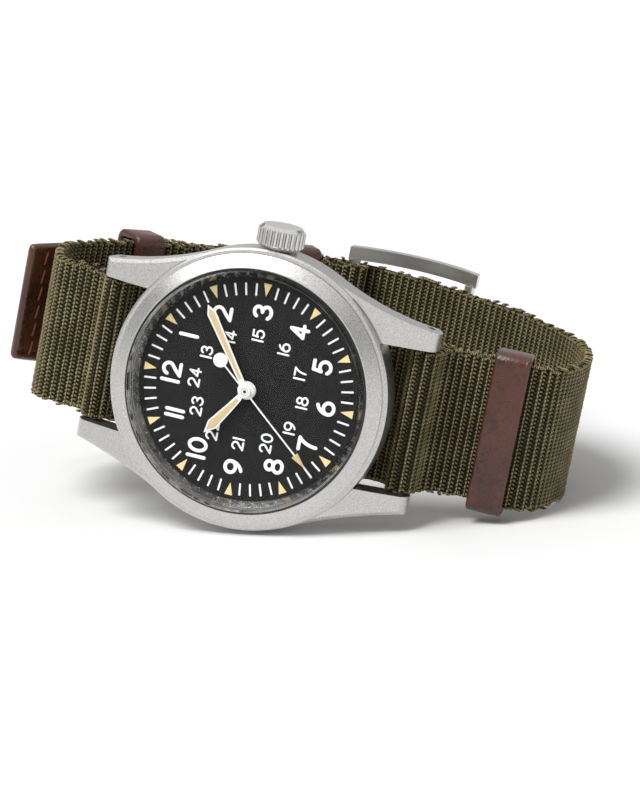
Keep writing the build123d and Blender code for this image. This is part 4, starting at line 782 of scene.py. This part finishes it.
node_finishes = {
    blasted_steel: ("case_body", "bezel", "case_back"),
    polished_steel: ("crown", "crown_tube"),
    brushed_steel: ("buckle_frame", "buckle_tang"),
    crystal_glass: ("crystal",),
    ruby: ("jewels",),
    seal_rubber: ("crystal_gasket", "back_gasket", "crown_gasket"),
    dark_plating: ("rehaut_ring",),
    dial_black: ("dial",),
    hand_white: ("hour_hand", "minute_hand", "seconds_hand"),
    gilt_brass: (
        "main_plate", "barrel_bridge", "train_bridge", "pallet_bridge", "balance_cock", "third_wheel",
        "centre_wheel", "barrel_drum", "barrel_cover", "balance_wheel", "seconds_wheel", "hour_wheel",
        "minute_wheel",
    ),
    ground_steel: (
        "winding_stem", "movement_ring", "casing_clamps", "movement_screws", "barrel_arbor", "mainspring",
        "ratchet_wheel", "crown_wheel", "click", "winding_pinion", "sliding_pinion", "yoke", "setting_lever",
        "setting_wheel", "escape_wheel", "pallet_fork", "hairspring", "cannon_pinion", "spring_bars",
        "plunger_springs",
        "plunger_1", "plunger_2", "plunger_3", "plunger_4",
    ),
}
for finish, names in node_finishes.items():
    for name in names:
        for material_slot in nodes[name].material_slots:
            material_slot.material = finish


# Strap

def grain(stations, length, width, height, slant, at_x, at_z, tone):
    """A slanting grain of yarn, thick in the middle and closed at both ends: its points, faces and painted
    light tones.
    """
    sides = 6
    points = []
    painted_light_tones = []
    for along, swell in stations:
        for side in range(sides):
            across_grain, out = polar(swell, 360 * (side + 0.5) / sides)
            x = at_x + along * length / 2
            z = at_z + across_grain * width / 2 + slant * along
            points.append(Vector((x, out * height / 2, z)) * millimetre)
            # Painted light: lightest on the grain's crown, painted shade towards its sides, scaled by its
            # tone
            painted_light_tones.append(abs(out) * tone)
    return points, capped(len(stations), sides), painted_light_tones


def bead():
    """One repeat of a rib: its ridge, the tooth that leaves it and the twist in the valley, darker by its
    yarn and by painted shade.
    """
    blunt = ((-1.0, 0.45), (-0.45, 0.96), (0.45, 0.96), (1.0, 0.45))
    pointed = ((-1.0, 0.4), (0.0, 1.0), (1.0, 0.4))
    parts = (
        grain(blunt, ridge_length, ridge_width, strap_thickness, 0, ridge_at, 0, 1.0),
        # The tooth's tone follows its lower height: painted shade
        grain(
            blunt, tooth_length, tooth_width, strap_thickness * tooth_height_share, tooth_slant,
            tooth_at, bead_pitch / 4, tooth_height_share,
        ),
        grain(
            pointed, valley_length, valley_width, strap_thickness * valley_height_share, valley_slant,
            valley_at, -bead_pitch / 4, valley_yarn_and_shade_share,
        ),
    )
    points = []
    faces = []
    painted_light_tones = []
    for part_points, part_faces, part_painted_light_tones in parts:
        faces += [tuple(corner + len(points) for corner in face) for face in part_faces]
        points += part_points
        painted_light_tones += part_painted_light_tones
    return mesh_of("bead", points, faces, values=painted_light_tones)


def edge_loop(side, slant):
    """One loop of yarn round the webbing's edge, leaning along the strap, with painted shade on the inner
    side of its yarn.
    """
    steps = 9
    sides = 5
    reach_x = selvedge_width / 2 - selvedge_yarn
    reach_y = strap_thickness / 2 - selvedge_yarn
    middle_x = side * (strap_width / 2 - selvedge_width / 2)
    points = []
    painted_light_tones = []
    for step in range(steps):
        turn = 2 * math.pi * step / steps
        out_x, out_y = math.cos(turn), math.sin(turn)
        for corner in range(sides):
            around = 2 * math.pi * corner / sides
            wide = 1 + math.cos(around) * selvedge_yarn / reach_x
            x = middle_x + out_x * reach_x * wide
            y = out_y * reach_y * (1 + math.cos(around) * selvedge_yarn / reach_y)
            z = slant * out_y + math.sin(around) * selvedge_yarn
            points.append(Vector((x, y, z)) * millimetre)
            # Painted shade: the yarn is darker on its inner side, lighter on its outer side
            painted_light_tones.append(loop_inner_shade_tone + (1 - loop_inner_shade_tone) * (1 + math.cos(around)) / 2)
    return mesh_of("edge_loop", points, ring_faces(steps, sides, True), values=painted_light_tones)


def rounded_band(width, thickness):
    """The outline of a flat band with round edges, as X and depth."""
    half = (width - thickness) / 2
    right = [polar(thickness / 2, angle, (half, 0)) for angle in range(-90, 91, edge_turn_step)]
    left = [polar(thickness / 2, angle, (-half, 0)) for angle in range(90, 271, edge_turn_step)]
    return right + left


def webbing(name, points, *stands_for):
    """A ribbed band: a ground painted dark as the shade between the ribs, ribs of twisted yarn across it and
    loops along both edges.
    """
    middle = beside(smooth_line(points, line_spacing), strap_thickness / 2)
    middle = evenly(middle, rib_pitch / 4)
    ground = rounded_band(strap_width - selvedge_width / 2, core_thickness)
    shape = swept(middle, lambda distance, whole: ground)
    solid(name + "_ground", *shape, ground_painted_shade, "watch_body", *stands_for)
    half = strap_width / 2 - selvedge_width - (ridge_width - bead_pitch) / 4
    side_line = [Vector((-half, 0, 0)) * millimetre, Vector((half, 0, 0)) * millimetre]
    beads = round(2 * half / bead_pitch) + 1
    along_strap = (0, 0, 1)
    rib = row(
        name + "_rib", side_line, bead(), beads, rib_yarn, sideways=along_strap, jitter=rib_jitter,
        seed=rib_seed,
    )
    stations = place([(0, y, z) for y, z in evenly(middle, rib_pitch)])
    pieces = math.ceil(len(stations) / ribs_in_a_piece)
    size = math.ceil(len(stations) / pieces)
    for piece in range(pieces):
        line = stations[piece * size:(piece + 1) * size]
        mesh = row(f"{name}_ribs_{piece + 1}", line, rib, len(line), rib_yarn)
        show(f"{name}_ribs_{piece + 1}", mesh, rib_yarn, "watch_body")
    loop_count = loops_in_a_rib * len(stations)
    for side, label in ((1, "crown_side"), (-1, "far_side")):
        for slant, lean in ((selvedge_slant, "forward"), (-selvedge_slant, "back")):
            edge = f"{name}_{label}_{lean}"
            loop = edge_loop(side, slant)
            loops = row(edge, stations, loop, loop_count, edge_yarn, jitter=loop_jitter, seed=loop_seed)
            show(edge, loops, edge_yarn, "watch_body")


webbing("strap_webbing", strap_points(), "strap_long")
webbing("under_webbing", [place_from_share(share) for share in under_shares], "strap_under")


# Leather

def leather_outline(width, thickness, rounding, crease_inset, crease_depth):
    """The outline of a leather strip, with round edges and a pressed crease inside each, as X and depth."""
    half = width / 2
    face = [polar(1, angle) for angle in range(-90, 91, edge_turn_step)]
    right = [(half - rounding + x * rounding, y * thickness / 2) for x, y in face]
    crease = ((0.0, 0.0), (crease_width / 2, crease_depth), (crease_width, 0.0))
    right += [(half - crease_inset - inset, thickness / 2 - sink) for inset, sink in crease]
    return right + [(-x, -y) for x, y in right]


def leather_end():
    """The strap's tapering leather end: two skins in one outline, with the textile's edge between them."""
    line = evenly(tail_line[leather_start:], leather_spacing)

    def width_at(distance, whole):
        return strap_width + (leather_tip_width - strap_width) * distance / whole

    def section(distance, whole):
        to_end = min(distance, whole - distance)
        swell = math.sqrt(max(0.0, 1 - (1 - min(1.0, to_end / leather_end_rounding)) ** 2))
        share = leather_end_thickness_share + (1 - leather_end_thickness_share) * swell
        width = width_at(distance, whole) - leather_end_narrowing * (1 - swell)
        outline = leather_outline(
            width, leather_thickness * share, end_edge_rounding, end_crease_inset, end_crease_depth
        )
        return [(x, leather_thickness / 2 - depth) for x, depth in outline]

    core_line = beside(line, leather_thickness / 2)[:-leather_core_end_steps]
    core = swept(core_line, lambda distance, whole: rounded_band(
        width_at(distance, whole) + leather_core_proud, leather_core_thickness
    ))
    solid("leather_end_core", *core, core_cloth, "watch_body")
    solid("leather_strap_end", *swept(line, section), end_leather, "watch_body", "leather_tip")


def leather_keeper(name, line, y, depth_from, depth_to, body, node):
    """A flat leather loop round the strap's layers."""
    index = index_at_y(line, y, 0.5 if y > 0 else 0.0)
    ahead = tangents(line)[index]
    left = np.array([-ahead[1], ahead[0]])
    middle = line[index] + left * (depth_from + depth_to) / 2
    half_width = strap_width / 2 + keeper_clearance + keeper_wall / 2
    half_height = (depth_to - depth_from) / 2 + keeper_clearance + keeper_wall / 2
    corner = min(keeper_corner, half_height)
    path = []
    for middle_x, middle_h, start in (
        (half_width - corner, half_height - corner, 0), (corner - half_width, half_height - corner, 90),
        (corner - half_width, corner - half_height, 180), (half_width - corner, corner - half_height, 270),
    ):
        turns = range(start, start + 91, corner_turn_step)
        path += [(polar(corner, turn, (middle_x, middle_h)), turn) for turn in turns]
    section = leather_outline(
        keeper_length, keeper_wall, keeper_edge_rounding, keeper_crease_inset, keeper_crease_depth
    )
    points = []
    for (x, height), turn in path:
        out = polar(1, turn)
        for along, depth in section:
            at = middle + left * (height + out[1] * depth) + ahead * along
            points.append((x + out[0] * depth, at[0], at[1]))
    solid(name, points, ring_faces(len(path), len(section), True), keeper_leather, body, node)


leather_end()
double_layer = 2 * strap_thickness + layer_gap
loose_stack = leather_thickness + strap_thickness + keeper_slack
for name, line, y, depth_from, depth_to, body, node in (
    ("leather_keeper_lug", under_line, lug_keeper_y, -strap_thickness - under_gap, strap_thickness,
     "watch_body", "keeper_lug"),
    ("leather_keeper_buckle", tail_line, buckle_keeper_y, 0, double_layer, "watch_body", "keeper_buckle"),
    ("leather_keeper_free", tail_line, free_keeper_y, 0, loose_stack, "keeper_free", "keeper_free"),
):
    leather_keeper(name, line, y, depth_from, depth_to, body, node)


def stitch():
    """One stitch of thick thread, lying along Z with its ends bent down into the leather."""
    sides = 6
    points = []
    for along in stitch_stations:
        sink = stitch_sink * along ** 6
        thick = stitch_radius * (1 - stitch_thinning * along ** 4)
        for side in range(sides):
            y, x = polar(thick, 360 * side / sides)
            points.append(
                Vector((x + stitch_slant * along, y + sink, along * stitch_length / 2)) * millimetre
            )
    return mesh_of("stitch", points, capped(len(stitch_stations), sides))


def leather_stitches(name, depth, facing):
    """A line of stitches across one face of the leather end."""
    along = lengths(tail_line[leather_start:])
    index = leather_start + int(np.searchsorted(along, stitch_line_from_start))
    y, z = beside(tail_line, depth)[index]
    ahead = tangents(tail_line)[index]
    reach = stitch_pitch * (stitch_count - 1) / 2
    line = place([(-reach * facing, y, z), (reach * facing, y, z)])
    forward = direction((0, ahead[0], ahead[1]))
    stitches = row(name, line, stitch(), stitch_count, linen_thread, sideways=forward)
    show(name, stitches, linen_thread, "watch_body")


leather_stitches("stitches_outer_face", -stitch_radius * stitch_proud_share, 1)
leather_stitches("stitches_inner_face", leather_thickness + stitch_radius * stitch_proud_share, -1)


# Dial print

def dial_circle(radius, height, count=240):
    """A circle on the dial that starts at 12 o'clock and runs clockwise."""
    return place([(*polar(radius, 90 - 360 * index / count), height) for index in range(count)])


def dial_stamp(name, outline, height):
    """A flat printed shape, drawn as distances out from its circle and along it."""
    top = [Vector((height, -out, along)) * millimetre for out, along in outline]
    foot = [Vector((0, -out, along)) * millimetre for out, along in outline]
    return mesh_of(name, top + foot, capped(2, len(outline)), smooth=False)


tick_middle = (tick_inner_radius + tick_outer_radius) / 2
tick_half = (tick_outer_radius - tick_inner_radius) / 2 + marker_overlap
tick_side = tick_width / 2 + marker_overlap
tick_round = tick_side * (1 - math.sqrt(0.5))
tick_outline = [
    (-tick_half, 0), (-tick_half + tick_round, -tick_side), (tick_half - tick_round, -tick_side),
    (tick_half, 0), (tick_half - tick_round, tick_side), (-tick_half + tick_round, tick_side),
]
tick = dial_stamp("tick", tick_outline, marker_height)
ticks = row(
    "minute_ticks", dial_circle(tick_middle, 0), tick, minutes_on_dial, print_white, closed=True,
    sideways=out_of_dial, every=minutes_on_dial // hours_on_dial, left_out=1,
)
show("minute_ticks", ticks, print_white, "watch_body")
triangle_outline = [
    (triangle_base_radius - triangle_apex_radius + marker_overlap, -triangle_half_width - marker_overlap),
    (triangle_base_radius - triangle_apex_radius + marker_overlap, triangle_half_width + marker_overlap),
    (-3 * marker_overlap, 0),
]
triangle = dial_stamp("triangle", triangle_outline, marker_height)
triangles = row(
    "hour_triangles", dial_circle(triangle_apex_radius, 0), triangle, hours_on_dial, lume_cream, closed=True,
    sideways=out_of_dial,
)
show("hour_triangles", triangles, lume_cream, "watch_body")


def stroke(points, width, closed=False):
    """A painted stroke with round ends and a low crown across it."""
    line = np.array(points, float)
    half = width / 2
    if closed:
        ahead = np.roll(line, -1, axis=0) - np.roll(line, 1, axis=0)
        ahead /= np.linalg.norm(ahead, axis=1)[:, None]
        halves = [half] * len(line)
    else:
        caps = (0.0, 0.08, 0.3, 0.62, 1.0)
        ends = tangents(line)
        first = [line[0] - ends[0] * half * (1 - cap) for cap in caps]
        last = [line[-1] + ends[-1] * half * (1 - cap) for cap in reversed(caps)]
        round_off = [half * math.sqrt(max(0.004, 1 - (1 - cap) ** 2)) for cap in caps]
        halves = round_off + [half] * (len(line) - 2) + round_off[::-1]
        line = np.array(first + list(line[1:-1]) + last)
        ahead = tangents(line)
    side = np.column_stack([-ahead[:, 1], ahead[:, 0]])
    shoulder = print_height * print_shoulder_height_share
    profile = (
        (-1.0, -print_sink), (-print_shoulder, shoulder), (0.0, print_height), (print_shoulder, shoulder),
        (1.0, -print_sink),
    )
    made = []
    for point, out, reach in zip(line, side, halves):
        made += [(*(point + out * reach * share), height) for share, height in profile]
    count = len(line)
    return made, ring_faces(count, len(profile), True) if closed else capped(count, len(profile))


def arc(x, y, reach_x, reach_y, start, end, steps=18):
    return [
        (x + reach_x * math.cos(math.radians(angle)), y + reach_y * math.sin(math.radians(angle)))
        for angle in np.linspace(start, end, steps)
    ]


def circle(x, y, reach_x, reach_y):
    return arc(x, y, reach_x, reach_y, 0, 345, 24)


# Rounded digits on a unit square: each stroke's points and whether it closes
digits = {
    "0": [(circle(0.5, 0.5, 0.5, 0.5), True)],
    "1": [([(0.5, 0.0), (0.5, 0.5), (0.5, 1.0)], False)],
    "2": [
        (arc(0.5, 0.70, 0.47, 0.30, 168, -38) + [(0.45, 0.28), (0.04, 0.0)], False),
        ([(0.04, 0.0), (0.5, 0.0), (1.0, 0.0)], False),
    ],
    "3": [(arc(0.46, 0.765, 0.42, 0.235, 160, -88), False), (arc(0.46, 0.265, 0.5, 0.265, 88, -158), False)],
    "4": [
        ([(0.66, 0.0), (0.66, 0.5), (0.66, 1.0)], False), ([(0.66, 1.0), (0.33, 0.63), (0.0, 0.26)], False),
        ([(0.0, 0.26), (0.5, 0.26), (1.0, 0.26)], False),
    ],
    "5": [
        ([(0.9, 1.0), (0.5, 1.0), (0.16, 1.0)], False), ([(0.16, 1.0), (0.12, 0.78), (0.07, 0.54)], False),
        (arc(0.46, 0.325, 0.5, 0.325, 140, -152), False),
    ],
    "6": [(circle(0.5, 0.31, 0.5, 0.31), True), (arc(0.98, 0.31, 0.98, 0.69, 108, 180), False)],
    "7": [([(0.0, 1.0), (0.5, 1.0), (1.0, 1.0)], False), (arc(1.55, -0.05, 1.18, 1.18, 118, 178), False)],
    "8": [(circle(0.5, 0.77, 0.39, 0.23), True), (circle(0.5, 0.27, 0.5, 0.27), True)],
}
digits["9"] = [([(1 - x, 1 - y) for x, y in points], closed) for points, closed in digits["6"]]


def numerals(name, first, distance, height, width):
    """Upright numbers round the dial, one at each hour, counting up from the first at 1 o'clock."""
    points = []
    faces = []
    tall = height - width
    wide = tall * digit_width_share
    gap = width * digit_gap_share
    for hour in range(1, hours_on_dial + 1):
        text = str(first + hour - 1)
        spans = [0.0 if character == "1" else wide for character in text]
        x = -(sum(spans) + gap * (len(text) - 1)) / 2
        middle = polar(distance, 90 - 30 * hour)
        for character, span in zip(text, spans):
            for line, closed in digits[character]:
                placed = [(middle[0] + x + u * span, middle[1] + (v - 0.5) * tall) for u, v in line]
                made, joined = stroke(placed, width, closed)
                faces += [tuple(corner + len(points) for corner in face) for face in joined]
                points += made
            x += span + gap
    solid(name, points, faces, print_white, "watch_body")


numerals("hour_numerals", 1, hour_numeral_distance, hour_numeral_height, hour_numeral_stroke)
numerals("inner_numerals", 13, inner_numeral_distance, inner_numeral_height, inner_numeral_stroke)


# Hands

def on_hand(points, clock_angle):
    """Points drawn on a hand that points to 12, turned clockwise to its place."""
    turn = Matrix.Rotation(math.radians(-clock_angle), 3, "Z")
    return place([turn @ Vector(point) for point in points])


def inlay(name, outline, bottom, top, clock_angle, body):
    """A filled pad of luminous compound with a slightly crowned top."""
    middle = Vector((sum(x for x, y in outline), sum(y for x, y in outline))) / len(outline)
    inner = [tuple(middle + (Vector(point) - middle) * inlay_crown_share) for point in outline]
    points = [(*point, bottom) for point in outline] + [(*point, (bottom + 2 * top) / 3) for point in outline]
    points += [(*point, top) for point in inner]
    faces = capped(3, len(outline))
    show(name, mesh_of(name, on_hand(points, clock_angle), faces, smooth=False), lume_tan, body)


def hand_lume(name, hand, body):
    half, widest, length, border = hand["half_width"], hand["widest"], hand["length"], hand_border
    root = hand_root_half_width + (half - hand_root_half_width) * lume_start / widest - border
    tip_angle = math.atan2(half, length - widest)
    tip = length - border / math.sin(tip_angle)
    wide = half - border
    outline = [(root, lume_start), (wide, widest), (0, tip), (-wide, widest), (-root, lume_start)]
    top = hand["level"] + hand_thickness
    inlay(name, outline, top - print_sink, top + lume_rise, hand["angle"], body)


hand_lume("hour_hand_lume", hour_hand, "hours")
hand_lume("minute_hand_lume", minute_hand, "minutes")
arrow_half = seconds_arrow_half_width + marker_overlap
arrow = [
    (arrow_half, seconds_arrow_tail - marker_overlap), (0, seconds_arrow_tip + marker_overlap),
    (-arrow_half, seconds_arrow_tail - marker_overlap),
]
seconds_top = seconds_level + hand_thickness
arrow_foot = seconds_level - marker_overlap
inlay("seconds_arrow_lume", arrow, arrow_foot, seconds_top + lume_rise, seconds_angle, "seconds")


def turned(name, profile, finish, body, segments=32):
    """A closed round piece on the dial's middle, from its outline as radius and height."""
    turns = [360 * index / segments for index in range(segments)]
    points = [(*polar(radius, turn), height) for turn in turns for radius, height in profile]
    solid(name, points, ring_faces(segments, len(profile), True), finish, body)


pin_top = seconds_hub_top + lume_rise
pin_foot = seconds_hub_top - lume_rise
pin_crown = pin_top + lume_rise / 2
pin_profile = (
    (pin_radius, pin_foot), (pin_radius, pin_top), (pin_radius / 2, pin_crown), (pin_point_radius, pin_crown),
    (pin_point_radius, pin_foot),
)
turned("seconds_pin", pin_profile, blued_steel, "seconds")
ring_top = seconds_hub_top + marker_overlap
ring_profile = (
    (pin_ring_radius, pin_foot), (pin_ring_radius, ring_top), (pin_ring_radius + pin_ring_width, ring_top),
    (pin_ring_radius + pin_ring_width, pin_foot),
)
turned("seconds_hub_ring", ring_profile, blued_steel, "seconds")


# Camera, light and floor

camera_data = bpy.data.cameras.new("photo_camera")
camera = bpy.data.objects.new("photo_camera", camera_data)
bpy.context.scene.collection.objects.link(camera)
bpy.context.scene.camera = camera
camera_axes = direction(picture_right), -direction(picture_down), -direction(picture_away)
camera_turn = Matrix(camera_axes).transposed()
camera.matrix_world = Matrix.Translation(watch @ Vector(camera_place)) @ camera_turn.to_4x4()
camera_data.sensor_width = sensor_size
camera_data.lens = focal_pixels * sensor_size / picture_height_pixels
camera_data.clip_start = nearest_seen
camera_data.clip_end = farthest_seen

scene = bpy.context.scene
scene.view_settings.view_transform = "Standard"


# One large soft sun, from above and a little towards the viewer and the left
up = Vector((0, 0, 1))
to_viewer = -direction(picture_away)
to_left = -direction(picture_right)
to_key = up + to_viewer * key_towards_viewer + to_left * key_towards_left
key_data = bpy.data.lights.new("soft_key", "SUN")
key_data.energy = key_energy
key_data.angle = math.radians(key_angle)
key = bpy.data.objects.new("soft_key", key_data)
scene.collection.objects.link(key)
key.rotation_mode = "QUATERNION"
key.rotation_quaternion = to_key.to_track_quat("Z", "Y")

# White studio paper: it takes soft shadows
paper = painted("white_studio_paper", "#FBFBFB", "#FAFAFA", rough=0.9, grain_mm=300, relief_mm=0.0)
floor_mesh = bpy.data.meshes.new("floor")
corners = [(x * floor_half, y * floor_half, 0) for x, y in ((-1, -1), (1, -1), (1, 1), (-1, 1))]
floor_mesh.from_pydata(corners, [], [(0, 1, 2, 3)])
floor_mesh.materials.append(paper)
floor = bpy.data.objects.new("floor", floor_mesh)
scene.collection.objects.link(floor)

world = bpy.data.worlds.new("studio")
scene.world = world
world.use_nodes = True
sky = world.node_tree
sky.nodes.clear()
rays = add(sky, "ShaderNodeLightPath").outputs
where = add(sky, "ShaderNodeTexCoord").outputs["Generated"]
height = add(sky, "ShaderNodeSeparateXYZ", {"Vector": where}).outputs["Z"]
# What the metal mirrors: a bright canopy overhead, darker studio walls below it
walls = ramp(
    sky, height, ((0.0, "#F0F0F0"), (0.3, "#B8B8B8"), (0.5, "#8A8A8A"), (0.62, "#F8F8F8"), (0.9, "#FFFFFF"))
)
seen = add(
    sky, "ShaderNodeMath", {0: rays["Is Camera Ray"], 1: rays["Is Transmission Ray"]}, operation="MAXIMUM"
).outputs[0]
fill = add(sky, "ShaderNodeBackground", {"Color": colour("#FFFFFF"), "Strength": fill_strength})
mirrored = add(sky, "ShaderNodeBackground", {"Color": walls, "Strength": 1.0})
white = add(sky, "ShaderNodeBackground", {"Color": colour("#FFFFFF"), "Strength": 1.0})
mix = add(sky, "ShaderNodeMixShader", {0: rays["Is Glossy Ray"], 1: fill.outputs[0], 2: mirrored.outputs[0]})
mix = add(sky, "ShaderNodeMixShader", {0: seen, 1: mix.outputs[0], 2: white.outputs[0]})
add(sky, "ShaderNodeOutputWorld", {"Surface": mix.outputs[0]})
